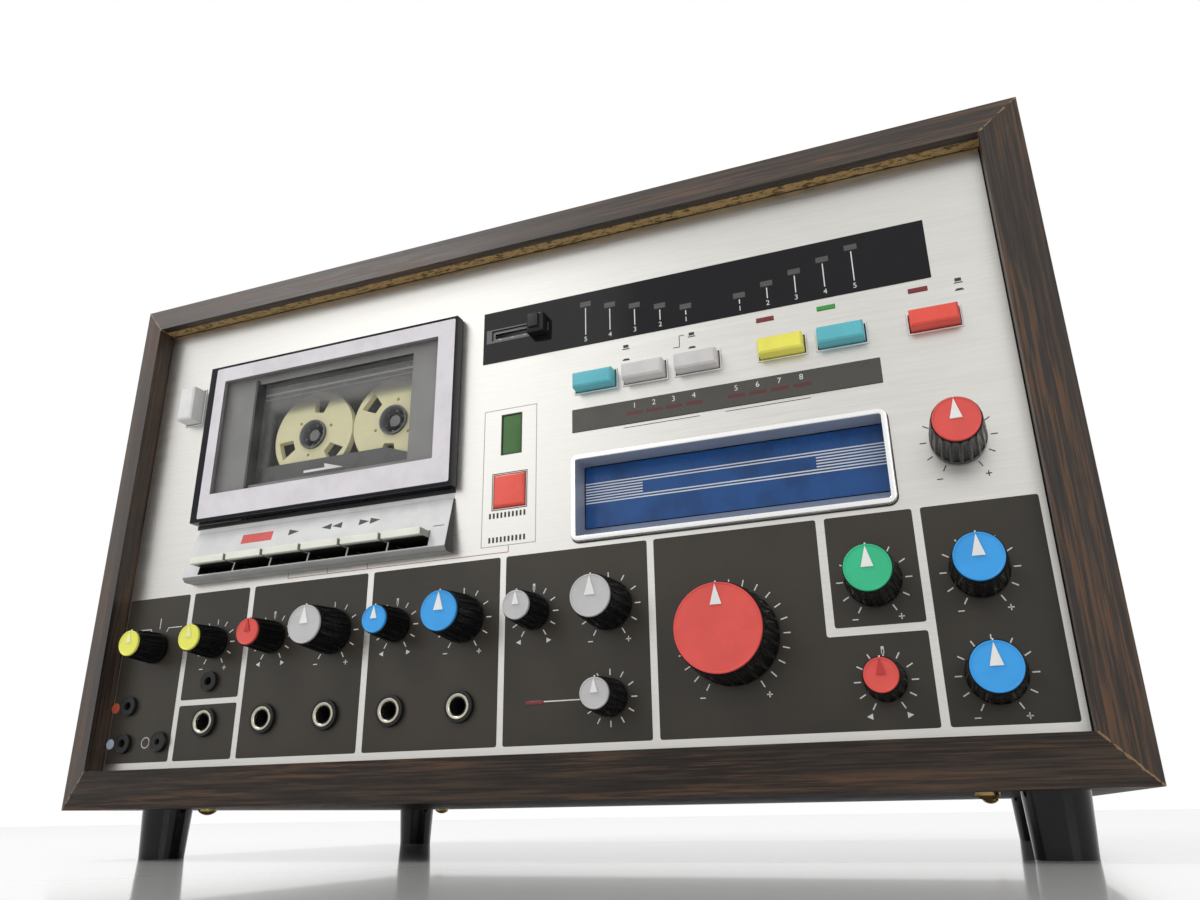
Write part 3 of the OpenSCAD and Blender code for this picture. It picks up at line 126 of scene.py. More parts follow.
class Paint(Nodes):
    """One material and the nodes that make it."""

    def __init__(self, name, colour, roughness, **constants):
        self.material = bpy.data.materials.new(name)
        self.material.use_nodes = True
        self.material.diffuse_color = (*colour, 1)
        super().__init__(self.material.node_tree)
        self.set("Base Color", colour)
        self.set("Roughness", roughness)
        for socket, value in constants.items():
            self.set(socket.replace("_", " "), value)

    def set(self, socket, value):
        """Sets or links a socket of the surface."""
        self.put(self.tree.nodes["Principled BSDF"].inputs[socket], value)

    def place(self):
        """The place on the object at rest, in metres."""
        return self.node("TexCoord", {}, {}, "Object")

    def parts(self, vector):
        """The x, y and z of a vector."""
        split = self.node("SeparateXYZ", {}, {0: vector}).socket.node
        return [Value(self, output) for output in split.outputs]

    def stretch(self, vector, by):
        return self.node("VectorMath", {"operation": "MULTIPLY"}, {0: vector, 1: by})

    def noise(self, vector, scale, detail=2.0, roughness=0.5):
        return self.node("TexNoise", {}, {"Vector": vector, "Scale": scale, "Detail": detail,
                                          "Roughness": roughness})

    def mix(self, share, first, second):
        """A colour that goes from first to second as share rises to 1."""
        return self.node("Mix", {"data_type": "RGBA"}, {0: share, 6: first, 7: second}, 2)

    def bump(self, height, depth):
        """Raises the surface by depth millimetres where height is 1."""
        self.set("Normal", self.node("Bump", {}, {"Distance": depth * MM, "Height": height}))


def along(axis, share):
    """The stretch that draws a pattern out along one axis."""
    return [share if i == axis else 1.0 for i in range(3)]


def dimmed(colour, share):
    return tuple(c * share for c in colour)


WALNUT_TONES = [(0.3, (0.009, 0.007, 0.006)), (0.45, (0.028, 0.021, 0.017)),
                (0.55, (0.055, 0.039, 0.030)), (0.7, (0.11, 0.070, 0.044))]
WALNUT_WARM, WALNUT_PORE = (0.13, 0.066, 0.034), (0.012, 0.009, 0.008)
WALNUT_RUBBED = (0.26, 0.17, 0.09)
CHIPS_BROWN, CHIPS_STRAW, CHIPS_DARK = (0.22, 0.14, 0.05), (0.50, 0.34, 0.15), (0.055, 0.034, 0.014)
BARE_DEPTH, BARE_RAGGED = 4.8 * MM, 1.6 * MM    # of the strip without film before the panel


def walnut(name, axis):
    """Dark printed walnut film over chipboard, with its grain along one axis."""
    p = Paint(name, (0.05, 0.036, 0.028), 0.45, Specular_IOR_Level=0.25)
    place = p.place()
    x, y, z = p.parts(place)
    grain = p.stretch(place, along(axis, 0.035))
    bands = p.noise(grain, 130, 3, 0.55)
    lines = p.noise(grain, 900, 4, 0.6)
    hairs = p.noise(grain, 2600, 2, 0.6)
    warm = p.noise(p.stretch(place, along(axis, 0.08)), 95)
    tone = p.node("ValToRGB", {"stops": WALNUT_TONES}, {0: bands * 0.4 + lines * 0.6})
    tone = p.mix(warm.between(0.42, 0.62) * lines.between(0.45, 0.62) * 0.8, tone, WALNUT_WARM)
    tone = p.mix(hairs.between(0.56, 0.7) * 0.45, tone, WALNUT_PORE)
    # the film is rubbed through along the mitres, and cut away next to the panel
    across = abs(x) - OPENING_W / 2 * MM
    up = abs(z - (FLOOR + OPENING_H / 2 * MM)) - OPENING_H / 2 * MM
    speck = p.noise(place, 420, 3, 0.7)
    mitre = abs(across - up) < (speck - 0.42) * (3 * MM)
    inner_side = (across.most(up) < 0.1 * MM) * (up + 0.2 * MM > across)
    bare = inner_side * (y > FACE - BARE_DEPTH + (speck - 0.5) * BARE_RAGGED) * (y < FACE)
    chips = p.noise(p.stretch(place, along(0, 0.45)), 620, 3, 0.75).between(0.5, 0.6)
    board = p.mix(p.noise(place, 1400), CHIPS_BROWN, CHIPS_STRAW)
    board = p.mix(chips * 0.85, board, CHIPS_DARK)
    p.set("Base Color", p.mix(bare, p.mix(mitre, tone, WALNUT_RUBBED), board))
    p.set("Roughness", lines.between(0.3, 0.7, 0.38, 0.55).most(bare * 0.85))
    p.bump(lines * 0.5 + hairs * 0.5 + bare * p.noise(place, 700, 3) * 3 - bare * 1.5, 0.12)
    return p.material


def brushed(name, colour, roughness, spread=0.12, metal=1.0, shade=0.06):
    """Metal with fine lines from left to right; spread and shade say how much they show."""
    p = Paint(name, colour, roughness, Metallic=metal)
    lengthwise = p.stretch(p.place(), along(0, 0.012))
    lines = p.noise(lengthwise, 5200, 2, 0.6) * 0.75 + p.noise(lengthwise, 800, 3, 0.6) * 0.25
    light = tuple(min(1, c * (1 + shade)) for c in colour)
    p.set("Base Color", p.mix(lines.between(0.3, 0.7), dimmed(colour, 1 - shade * 2.5), light))
    p.set("Roughness", lines.between(0.3, 0.7, roughness - spread / 2, roughness + spread / 2))
    p.bump(lines, 0.02)
    return p.material


def moulded(name, colour, roughness, grain=0.01, scale=2500, shade=0.05, **constants):
    """Moulded plastic or paint: a skin grain millimetres deep, slight unevenness, a little dust."""
    p = Paint(name, colour, roughness, **constants)
    skin = p.noise(p.place(), scale, 3, 0.6)
    cloud = p.noise(p.place(), 90, 3, 0.6)
    uneven = cloud * 0.6 + skin * 0.4
    p.set("Base Color", p.mix(cloud.between(0.35, 0.7), colour, dimmed(colour, 1 - shade * 2)))
    p.set("Roughness", uneven.between(0.3, 0.7, roughness - 0.06, roughness + 0.08))
    p.bump(skin, grain)
    return p.material


def printed(name, colour, roughness, depth=0.012, **constants):
    """Ink or film with the fine lines of what it is on, which show faintly through it."""
    p = Paint(name, colour, roughness, **constants)
    lines = p.noise(p.stretch(p.place(), along(0, 0.012)), 3200, 2, 0.6)
    cloud = p.noise(p.place(), 45, 3, 0.6)
    p.set("Base Color", p.mix(cloud.between(0.3, 0.75), colour, dimmed(colour, 0.86)))
    p.set("Roughness", lines.between(0.3, 0.7, roughness - 0.05, roughness + 0.08))
    p.bump(lines, depth)
    return p.material


ON_PLASTIC = 0.004                          # depth of the lines in ink that isn't on metal
WOOD_ALONG_X = walnut("walnut_film_lengthwise", 0)
WOOD_ALONG_Z = walnut("walnut_film_upright", 2)
ALUMINIUM = brushed("brushed_aluminium_panel", (0.63, 0.617, 0.585), 0.34, shade=0.03)
STEEL = brushed("sheet_steel", (0.5, 0.51, 0.52), 0.4)
SOCKET_METAL = moulded("socket_sleeve", (0.50, 0.47, 0.38), 0.22, 0.003, Metallic=1.0)
BRASS = brushed("lacquered_brass", (0.58, 0.40, 0.16), 0.3)
INK_DARK = printed("panel_ink_taupe", (0.046, 0.040, 0.031), 0.36, Specular_IOR_Level=0.3)
INK_WHITE = printed("panel_ink_white", (0.80, 0.80, 0.78), 0.45)
INK_GREY = printed("panel_ink_pale", (0.46, 0.455, 0.44), 0.45)
INK_BLACK = printed("panel_ink_black", (0.025, 0.024, 0.022), 0.45)
INK_RED = printed("panel_ink_red", (0.52, 0.10, 0.05), 0.45)
STRIP_BLACK = moulded("display_acrylic", (0.008, 0.008, 0.010), 0.08, 0.001,
                      Specular_IOR_Level=0.2)
STRIP_TAUPE = moulded("display_film", (0.058, 0.054, 0.046), 0.3, 0.003)
KNOB_BLACK = moulded("knob_body_black", (0.005, 0.005, 0.006), 0.28, 0.003,
                     Specular_IOR_Level=0.15)
BLACK = moulded("black_plastic", (0.010, 0.010, 0.011), 0.35, 0.006, Specular_IOR_Level=0.3)
FOOT_BLACK = moulded("foot_lacquer", (0.006, 0.006, 0.007), 0.14, 0.003, 900,
                     Specular_IOR_Level=0.25)
SILVER_PLASTIC = moulded("housing_silver_paint", (0.72, 0.73, 0.725), 0.42, 0.006)
LAMP_RED = moulded("lamp_red", (0.20, 0.015, 0.02), 0.25, 0.003)
LAMP_GREEN = moulded("lamp_green", (0.04, 0.30, 0.05), 0.25, 0.003)
DISC = {
    "yellow": moulded("disc_yellow", (0.86, 0.86, 0.13), 0.4),
    "red": moulded("disc_red", (0.76, 0.085, 0.07), 0.42),
    "grey": moulded("disc_grey", (0.55, 0.54, 0.545), 0.42),
    "blue": moulded("disc_blue", (0.035, 0.36, 0.84), 0.42),
    "green": moulded("disc_green", (0.03, 0.52, 0.25), 0.42),
}
BUTTON = {
    "teal": moulded("button_teal", (0.11, 0.50, 0.58), 0.32),
    "grey": moulded("button_grey", (0.66, 0.64, 0.63), 0.32),
    "yellow": moulded("button_yellow", (0.92, 0.86, 0.12), 0.32),
    "red": moulded("button_red", (0.86, 0.09, 0.06), 0.32),
    "silver": moulded("button_silver", (0.78, 0.78, 0.77), 0.35),
}


# ------------------------------------------------------------------ pieces

def link(name, data):
    """A new object in the scene."""
    thing = bpy.data.objects.new(name, data)
    bpy.context.scene.collection.objects.link(thing)
    return thing


def piece(name, mesh, materials, body, stands_for=None, smooth=None):
    """An object of one mesh that moves with a body of the frame, and may stand for a node.

    smooth is the angle in degrees past which two faces meet in a sharp edge."""
    thing = link(name, mesh)
    for material in materials:
        mesh.materials.append(material)
    if smooth is not None:
        mesh.shade_smooth()
        mesh.set_sharp_from_angle(angle=radians(smooth))
    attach(thing, body)
    if stands_for:
        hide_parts(stands_for)
    return thing


def repaint(node, material):
    """Gives a node of the frame its finish."""
    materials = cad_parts[node].data.materials
    materials.clear()
    materials.append(material)


def mesh_of(bm, name, solid=True):
    """The mesh of a finished form; the faces of a solid are turned outward."""
    if solid:
        bmesh.ops.recalc_face_normals(bm, faces=bm.faces)
    mesh = bpy.data.meshes.new(name)
    bm.to_mesh(mesh)
    bm.free()
    return mesh


def turn_to_front(face):
    """Turns a flat face so that it looks out of the panel."""
    face.normal_update()
    if face.normal.y > 0:
        face.normal_flip()


def join_rings(bm, first, second, slot=0):
    """A band of faces between two rings of as many points."""
    for i, point in enumerate(first):
        j = (i + 1) % len(first)
        bm.faces.new((point, first[j], second[j], second[i])).material_index = slot


def prism(bm, outline, low, high, slot=0, place=spot):
    """A flat plate with an outline of (x, h) points, from low to high out of the panel."""
    back = [bm.verts.new(place(x, h, low)) for x, h in outline]
    front = [bm.verts.new(place(x, h, high)) for x, h in outline]
    for ring in (front, back[::-1]):
        bm.faces.new(ring).material_index = slot
    join_rings(bm, back, front, slot)


def ring_of(bm, x, h, radius, out, steps):
    """A ring of points round an axis; radius is a number or a function of the turn."""
    points = []
    for i in range(steps):
        turn = 2 * pi * i / steps
        r = radius(turn) if callable(radius) else radius
        points.append(bm.verts.new(spot(x + r * sin(turn), h + r * cos(turn), out)))
    return points


def turned(bm, x, h, profile, steps=48, slot=0, ends=0):
    """A turned shape round an axis that comes straight out of the panel.

    The profile is a list of (radius, out); ends says how many ends are closed, the last first."""
    rings = [ring_of(bm, x, h, radius, out, steps) for radius, out in profile]
    for first, second in zip(rings, rings[1:]):
        join_rings(bm, first, second, slot)
    for ring in (rings[-1], rings[0])[:ends]:
        bm.faces.new(ring).material_index = slot


def polar(x, h, r, turn):
    """The point at a distance r from (x, h), turn degrees anticlockwise from its right."""
    return x + r * cos(radians(turn)), h + r * sin(radians(turn))


def rectangle(x0, x1, h0, h1, corner=0.0, steps=5):
    """The outline of a rectangle, with round corners."""
    if not corner:
        return [(x0, h0), (x1, h0), (x1, h1), (x0, h1)]
    points = []
    for x, h, start in ((x1 - corner, h0 + corner, -90), (x1 - corner, h1 - corner, 0),
                        (x0 + corner, h1 - corner, 90), (x0 + corner, h0 + corner, 180)):
        points += [polar(x, h, corner, start + 90 * i / steps) for i in range(steps + 1)]
    return points


def box_at(x, h, half_w, half_h):
    """The box round a middle."""
    return x - half_w, x + half_w, h - half_h, h + half_h


def grown(box, by):
    """A box that is larger by a distance on all sides."""
    x0, x1, h0, h1 = box
    return x0 - by, x1 + by, h0 - by, h1 + by


def disc(x, h, r, steps=40):
    return [polar(x, h, r, 360 * i / steps) for i in range(steps)]


def line(x0, h0, x1, h1, width):
    """The outline of a straight line of a given width."""
    run, rise = x1 - x0, h1 - h0
    length = hypot(run, rise)
    a, b = -rise / length * width / 2, run / length * width / 2
    return [(x0 + a, h0 + b), (x0 - a, h0 - b), (x1 - a, h1 - b), (x1 + a, h1 + b)]


def frame_lines(x0, x1, h0, h1, width):
    """A rectangle drawn as four lines that meet at the corners."""
    return [rectangle(x0, x1, h0, h0 + width), rectangle(x0, x1, h1 - width, h1),
            rectangle(x0, x0 + width, h0 + width, h1 - width),
            rectangle(x1 - width, x1, h0 + width, h1 - width)]


INK = 0.06                                  # thickness of the printing, drawn a little thick
SUNK = 0.01                                 # how far the printing reaches into what it is on
SHARP, WELD = radians(40), 1e-6


def print_on(name, shapes, material, body="cabinet", out=0.0, place=spot):
    """Flat printed shapes, as one piece."""
    bm = bmesh.new()
    for outline in shapes:
        prism(bm, outline, out - SUNK, out + INK, place=place)
    piece(name, mesh_of(bm, name), [material], body)


def softened(node, width, material, body, segments=3):
    """A copy of a CAD node with its sharp edges rounded by width millimetres."""
    bm = bmesh.new()
    bm.from_mesh(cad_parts[node].data)
    bmesh.ops.remove_doubles(bm, verts=bm.verts, dist=WELD)
    bmesh.ops.dissolve_limit(bm, angle_limit=radians(1), verts=bm.verts, edges=bm.edges)
    sharp = [edge for edge in bm.edges
             if len(edge.link_faces) == 2 and edge.calc_face_angle(0) > SHARP]
    bmesh.ops.bevel(bm, geom=sharp, offset=width * MM, segments=segments, profile=0.7,
                    affect="EDGES", clamp_overlap=True)
    return piece(node + "_soft", mesh_of(bm, node), [material], body, node, smooth=35)


# ------------------------------------------------------------------- knobs

# A knob has a disc and a base (radii), a height, ribs and the depth of the grooves between them.
# Its pointer's tip, foot and half width are shares of the disc's radius. The scale round it has
# lines from one radius to another, a number of degrees apart, and signs at a radius.
SMALL = dict(disc=5.3, base=6.7, height=15.0, ribs=14, groove=0.55, tip=0.93, foot=0.02, half=0.26,
             scale=(7.8, 10.0), apart=30, signs=12.4)
LARGE = dict(disc=7.5, base=9.2, height=18.0, ribs=18, groove=0.55, tip=0.93, foot=0.02, half=0.26,
             scale=(10.0, 12.2), apart=30, signs=14.6)
MASTER = dict(disc=14.8, base=16.6, height=19.5, ribs=24, groove=0.7, tip=0.96, foot=0.5, half=0.13,
              scale=(17.6, 20.0), apart=15, signs=22.8)
KNOB_BACK, BORE_R, SHAFT_R, SHAFT_DEPTH = 0.6, 3.1, 3.0, 9.0
BODY_SLOT, DISC_SLOT, POINTER_SLOT, SHAFT_SLOT, MARK_SLOT = range(5)
COLUMN, FIRST = 30.0, -138.5
HIGH, LOW = 51.0, 18.3
MODE_X, ECHO_X, TONE_X, SPEED_H = -171, 135.2, 168.0, 96
END_TURN = 150                              # degrees from the middle to either end of a scale


def column(i):
    return FIRST + COLUMN * i


KNOBS = [
    ("mode", MODE_X, HIGH, SMALL, "yellow"), ("earphone", column(0), HIGH, SMALL, "yellow"),
    ("pan_one", column(1), HIGH, SMALL, "red"), ("level_one", column(2), HIGH, LARGE, "grey"),
    ("pan_two", column(3), HIGH, SMALL, "blue"), ("level_two", column(4), HIGH, LARGE, "blue"),
    ("pan_wireless", column(5), HIGH, SMALL, "grey"),
    ("level_wireless", column(6), HIGH, LARGE, "grey"),
    ("tuning", column(6), LOW, SMALL, "grey"), ("master", 86.4, 36, MASTER, "red"),
    ("echo", ECHO_X, HIGH, LARGE, "green"), ("balance", ECHO_X, LOW, SMALL, "red"),
    ("treble", TONE_X, HIGH, LARGE, "blue"), ("bass", TONE_X, LOW, LARGE, "blue"),
    ("speed", TONE_X, SPEED_H, LARGE, "red"),
]
POINTER_WHITE = moulded("pointer_white", (0.86, 0.86, 0.84), 0.4)
POINTER_YELLOW = moulded("pointer_pale_yellow", (0.88, 0.90, 0.42), 0.4)
POINTER_RED = moulded("pointer_deep_red", (0.50, 0.03, 0.03), 0.4)
POINTERS = {"mode": POINTER_YELLOW, "earphone": POINTER_YELLOW, "pan_one": POINTER_RED,
            "balance": POINTER_RED}


def fluted(r, depth, ribs):
    """The radius at each turn of a body with ribs, and grooves of a depth between them."""
    def radius(turn):
        wave = abs(sin(turn * ribs / 2))
        return r - depth * min(1.0, (wave * 1.5) ** 2.2) + depth * 0.15
    return radius


def knob(name, x, h, size, tint):
    """A fluted black knob with a coloured disc in a raised rim, a pointer and its shaft."""
    bm = bmesh.new()
    r, base, height, ribs = size["disc"], size["base"], size["height"], size["ribs"]
    top = r + 0.5
    # radius, out, and the share of the grooves' depth
    stations = [(BORE_R, KNOB_BACK, 0), (base - 0.5, KNOB_BACK, 0), (base - 0.05, 0.7, 0),
                (base, 2.2, 0), (base, 2.6, 0.5), (base, 3.4, 1), (top + 0.15, height - 2.0, 1),
                (top + 0.1, height - 1.0, 0.6), (top, height - 0.35, 0.1), (top - 0.15, height, 0),
                (top - 0.35, height + 0.05, 0), (top - 0.5, height - 0.25, 0)]
    turned(bm, x, h, [(fluted(radius, size["groove"] * share, ribs), out)
                      for radius, out, share in stations], ribs * 12, BODY_SLOT, ends=1)
    turned(bm, x, h, [(BORE_R, KNOB_BACK), (SHAFT_R, -SHAFT_DEPTH)], 24, SHAFT_SLOT, ends=2)
    # the disc: a slightly hollow face inside a raised rim
    turned(bm, x, h, [(r, height - 0.2), (r, height + 0.75), (r - 0.18, height + 0.95),
                      (r - 0.45, height + 0.95), (r - 0.7, height + 0.72), (r / 2, height + 0.66),
                      (0.4, height + 0.66)], 64, DISC_SLOT, ends=1)
    tip, foot, half = r * size["tip"], r * size["foot"], r * size["half"]
    arrow_head = [(x, h + tip), (x - half, h + foot), (x + half, h + foot)]
    prism(bm, arrow_head, height + 0.6, height + 1.15, POINTER_SLOT)
    prism(bm, line(x, h + r + 0.12, x, h + r + 0.6, 0.5), height - 0.4, height + 0.12, MARK_SLOT)
    materials = [KNOB_BLACK, DISC[tint], POINTERS.get(name, POINTER_WHITE), STEEL, POINTER_WHITE]
    piece("knob_%s_dressed" % name, mesh_of(bm, "knob_" + name), materials, name + "_knob",
          "knob_" + name, smooth=32)


for each in KNOBS:
    knob(*each)

# ---------------------------------------------------------------- printing


def rounded(points, corner=1.0, steps=4):
    """A polygon with its corners rounded off."""
    result = []
    for i, point in enumerate(points):
        here = Vector(point)
        start, end = [here + (Vector(other) - here).normalized() * corner
                      for other in (points[i - 1], points[(i + 1) % len(points)])]
        for k in range(steps + 1):
            t = k / steps
            result.append(tuple((1 - t) ** 2 * start + 2 * t * (1 - t) * here + t ** 2 * end))
    return result


def sheet(bm, outline, holes, out):
    """A thin film with holes in it."""
    loops = [outline] + holes
    points = [bm.verts.new(spot(x, h, out)) for loop in loops for x, h in loop]
    flat = [[Vector((x, h, 0)) for x, h in loop] for loop in loops]
    for corners in tessellate_polygon(flat):
        turn_to_front(bm.faces.new([points[i] for i in corners]))


def film(name, outlines, holes, material, body="cabinet", out=0.0):
    """Printed areas with holes where something comes through; every hole is an outline."""
    bm = bmesh.new()
    for outline in outlines:
        xs, hs = zip(*outline)
        inside = [hole for hole in holes
                  if min(xs) < hole[0][0] < max(xs) and min(hs) < hole[0][1] < max(hs)]
        sheet(bm, outline, inside, out + INK)
    piece(name, mesh_of(bm, name, solid=False), [material], body)


def numerals(name, items, height, material, out):
    """Plain figures on the front: (text, x, h) with the middle of each."""
    bm = bmesh.new()
    for text, x, h in items:
        curve = bpy.data.curves.new("figure", "FONT")
        curve.body, curve.size = text, height * 1.42
        curve.align_x = curve.align_y = "CENTER"
        figure = link("figure", curve)
        state = bpy.context.evaluated_depsgraph_get()
        mesh = bpy.data.meshes.new_from_object(figure.evaluated_get(state))
        for vertex in mesh.vertices:
            vertex.co = spot(x + vertex.co.x, h + vertex.co.y, out + INK)
        bm.from_mesh(mesh)
        bpy.data.objects.remove(figure)
        bpy.data.curves.remove(curve)
        bpy.data.meshes.remove(mesh)
    for face in bm.faces:
        turn_to_front(face)
    piece(name, mesh_of(bm, name, solid=False), [material], "cabinet")


# the dark blocks, with holes for the sockets and the knobs' shafts
SOCKETS = [(column(i), LOW) for i in range(5)]
SMALL_SOCKETS = [(-181, 26.8, 1.8), (-181, 11.3, 1.8), (column(0), 34.8, 1.8), (-161.4, 11.3, 1.3)]
BLOCK_LOW, BLOCK_HIGH = 3.3, 73.7
BLOCKS = [
    rectangle(-190.3, -156.1, BLOCK_LOW, BLOCK_HIGH), rectangle(-153.5, -123.4, 27.8, BLOCK_HIGH),
    rectangle(-153.5, -123.4, BLOCK_LOW, 25.5), rectangle(-120.7, -63.4, BLOCK_LOW, BLOCK_HIGH),
    rectangle(-60.6, -3.0, BLOCK_LOW, BLOCK_HIGH), rectangle(-0.5, 56.7, BLOCK_LOW, BLOCK_HIGH),
    rectangle(121.0, 149.9, 36, BLOCK_HIGH), rectangle(152.6, 188.9, BLOCK_LOW, BLOCK_HIGH),
    [(59.3, BLOCK_LOW), (149.9, BLOCK_LOW), (149.9, 33.3), (118.1, 33.3), (118.1, BLOCK_HIGH),
     (59.3, BLOCK_HIGH)]]
film("panel_blocks", [rounded(block) for block in BLOCKS],
     [disc(x, h, 5.0) for x, h in SOCKETS] + [disc(x, h, 3.9) for x, h, _ in SMALL_SOCKETS]
     + [disc(x, h, 3.6) for _, x, h, _, _ in KNOBS if h < BLOCK_HIGH], INK_DARK)

SIGN, SIGN_WIDTH = 1.9, 0.36


def ticks(x, h, inner, outer, turns, width=0.42):
    """Scale lines round a knob, at turns in degrees clockwise from straight up."""
    return [line(*polar(x, h, inner, 90 - turn), *polar(x, h, outer, 90 - turn), width)
            for turn in turns]


def minus(x, h):
    return [line(x - SIGN / 2, h, x + SIGN / 2, h, SIGN_WIDTH)]


def plus(x, h):
    return minus(x, h) + [line(x, h - SIGN / 2, x, h + SIGN / 2, SIGN_WIDTH)]


def arrow(x, h, way):
    """A small triangle that points right for a way of 1 and left for -1."""
    half = way * SIGN / 2
    return [[(x + half, h), (x - half, h + half), (x - half, h - half)]]


def scale(name, x, h, size):
    """The lines round a knob, and signs or arrow heads at their ends."""
    if name == "tuning":
        return ticks(x, h, *size["scale"], range(0, 360, size["apart"]))
    marks = ticks(x, h, *size["scale"], range(-END_TURN, END_TURN + 1, size["apart"]))
    aside, below = size["signs"] * sin(radians(30)), size["signs"] * cos(radians(30))
    left, right = (x - aside, h - below), (x + aside, h - below)
    if name.startswith("pan") or name == "balance":
        return marks + [line(x, h + 8.6, x, h + 10.9, 0.95)] + arrow(*left, -1) + arrow(*right, 1)
    return marks + minus(*left) + plus(*right)


white = []
for name, x, h, size, _ in KNOBS:
    if name not in ("mode", "speed"):
        white += scale(name, x, h, size)
white.append(line(MODE_X, 59.4, MODE_X, 64.2, 0.35))
for side in (-1, 1):
    white += [line(MODE_X + side * 4.1, 58.0, MODE_X + side * 5.0, 59.7, 0.35),
              line(MODE_X + side * 4.9, 59.7, MODE_X + side * 12.4, 59.7, 0.35)]
white.append(line(15.8, LOW, 34.6, LOW, 0.42))
print_on("scale_lines", white, INK_WHITE, out=INK)

print_on("speed_scale", ticks(TONE_X, SPEED_H, 10.2, 12.4, range(-END_TURN, END_TURN + 1, 30), 0.36)
         + minus(TONE_X - 7.6, SPEED_H - 13.4) + plus(TONE_X + 7.6, SPEED_H - 13.4), INK_BLACK)
RING_MARK = (-169.4, 11.3)
film("socket_ring_mark", [disc(*RING_MARK, 2.35)], [disc(*RING_MARK, 1.85)], INK_GREY, out=INK)
print_on("socket_dot_red", [disc(-189.3, 26.4, 2.2)], INK_RED, out=INK)
print_on("socket_dot_pale", [disc(-189.1, 11.4, 2.1)],
         printed("panel_ink_pale_blue", (0.50, 0.60, 0.72), 0.4), out=INK)

# the song search field with its frame, its two rows of bars and the line to the recorder
HAIR = 0.28
SEARCH_FIELD = (-11.9, 11.9, 78.3, 136.6)
SEARCH_LENS = (-4.1, 5.3, 116.2, 134.0)
SEARCH_BUTTON = (-7.6, 8.0, 93.0, 108.6)
RECORDER_LINE = 75.6                        # its height
print_on("search_frame", frame_lines(*SEARCH_FIELD, HAIR), INK_GREY)
print_on("search_bars", [rectangle(*box_at(-8.2 + 1.68 * i, h, 0.42, 1.1))
                         for h in (90.9, 81.0) for i in range(10)], INK_BLACK)
print_on("recorder_line", [line(-104.0, RECORDER_LINE, 0.2, RECORDER_LINE, HAIR),
                           line(0.2, RECORDER_LINE, 0.2, SEARCH_FIELD[2], HAIR)]
         + [line(x, RECORDER_LINE, x, RECORDER_LINE + 3, HAIR) for x in (-104.0, -84.0, -64.3)],
         printed("panel_ink_russet", (0.42, 0.17, 0.12), 0.45))
print_on("search_lens_edge", frame_lines(*SEARCH_LENS, 0.45) + frame_lines(*SEARCH_BUTTON, 0.35),
         INK_BLACK)

# the frames of the buttons: a black gap, a raised white bezel and a grey outline
BUTTON_ROW = 141.3
BUTTONS = [("select", 37.8, "teal"), ("four_eight", 58.6, "grey"), ("side", 79.9, "grey"),
           ("cue", 112.4, "yellow"), ("start", 134.3, "teal"), ("power", 166.6, "red")]
HOLES = [box_at(x, BUTTON_ROW, 8.3, 3.3) for _, x, _ in BUTTONS] + [box_at(-169.3, 165.7, 4.2, 8.3)]
HOLE_EDGE, GAP_EDGE, BEZEL_EDGE, OUTLINE_EDGE = 0.28, 0.5, 0.95, 1.08
around = {edge: [rectangle(*grown(hole, edge)) for hole in HOLES]
          for edge in (HOLE_EDGE, GAP_EDGE, BEZEL_EDGE, OUTLINE_EDGE)}
film("button_gaps", around[GAP_EDGE], around[HOLE_EDGE], INK_BLACK)
film("button_outlines", around[OUTLINE_EDGE], around[BEZEL_EDGE], INK_GREY)
bm = bmesh.new()
for hole in HOLES:
    for outline in frame_lines(*grown(hole, BEZEL_EDGE), BEZEL_EDGE - GAP_EDGE):
        prism(bm, outline, -SUNK, 0.32)
piece("button_bezels", mesh_of(bm, "button_bezels"),
      [moulded("bezel_white", (0.84, 0.84, 0.83), 0.3)], "cabinet")


def switch_mark(x, h, low, high):
    """The sign for a button that stands out or is pressed in: a block over a line."""
    return [rectangle(x - 1.1, x + 1.1, h + low, h + high),
            line(x - 1.5, h - 0.75, x + 1.5, h - 0.75, 0.4)]


OUT, IN = (-0.2, 1.1), (-0.6, -0.1)
print_on("switch_marks", switch_mark(50.8, 154.1, *OUT) + switch_mark(50.8, 149.2, *IN)
         + switch_mark(78, 154.1, *OUT) + switch_mark(78, 149.2, *IN)
         + switch_mark(176.4, 155.2, *OUT) + switch_mark(176.4, 152.2, *IN)
         + [line(73, 149.8, 73, 154.6, HAIR), line(73, 154.6, 74.9, 154.6, HAIR),
            line(73, 149.8, 70.4, 149.8, HAIR)]
         + [line(49, 119.5, 79.5, 119.5, 0.24), line(89.5, 119.5, 121, 119.5, 0.24)], INK_BLACK)

# ---------------------------------------------------------- display strips

STRIP_OUT, FIELD_OUT = 0.3, -0.74
LEVELS = [(33.7 + 10.65 * i, 177.5 - 2.62 * i, 5 - i) for i in range(5)]
LEVELS += [(97.9 + 10.85 * i, 167.0 + 2.7 * i, i + 1) for i in range(5)]
print_on("level_windows", [rectangle(*box_at(x, h, 2.35, 1.15)) for x, h, _ in LEVELS],
         printed("level_window", (0.075, 0.071, 0.066), 0.25, ON_PLASTIC), out=STRIP_OUT)
print_on("level_lines", [line(x, h - 1.8, x, 163.3, 0.4) for x, h, _ in LEVELS], INK_WHITE,
         out=STRIP_OUT)
numerals("level_figures", [(str(n), x, 161.2) for x, _, n in LEVELS], 2.1, INK_WHITE, STRIP_OUT)
film("slide_field", [rectangle(-9.45, 16.95, 169.05, 173.75)],
     [rectangle(-8.4, 15.9, 170.2, 172.6)], moulded("slide_field_grey", (0.24, 0.24, 0.24), 0.3),
     out=FIELD_OUT)
film("slide_window", [rectangle(-12.0, 8.2, 168.0, 174.4)], [rectangle(-9.5, 8.1, 169.0, 173.8)],
     moulded("slide_window_grey", (0.105, 0.105, 0.108), 0.2), out=STRIP_OUT - 0.02)
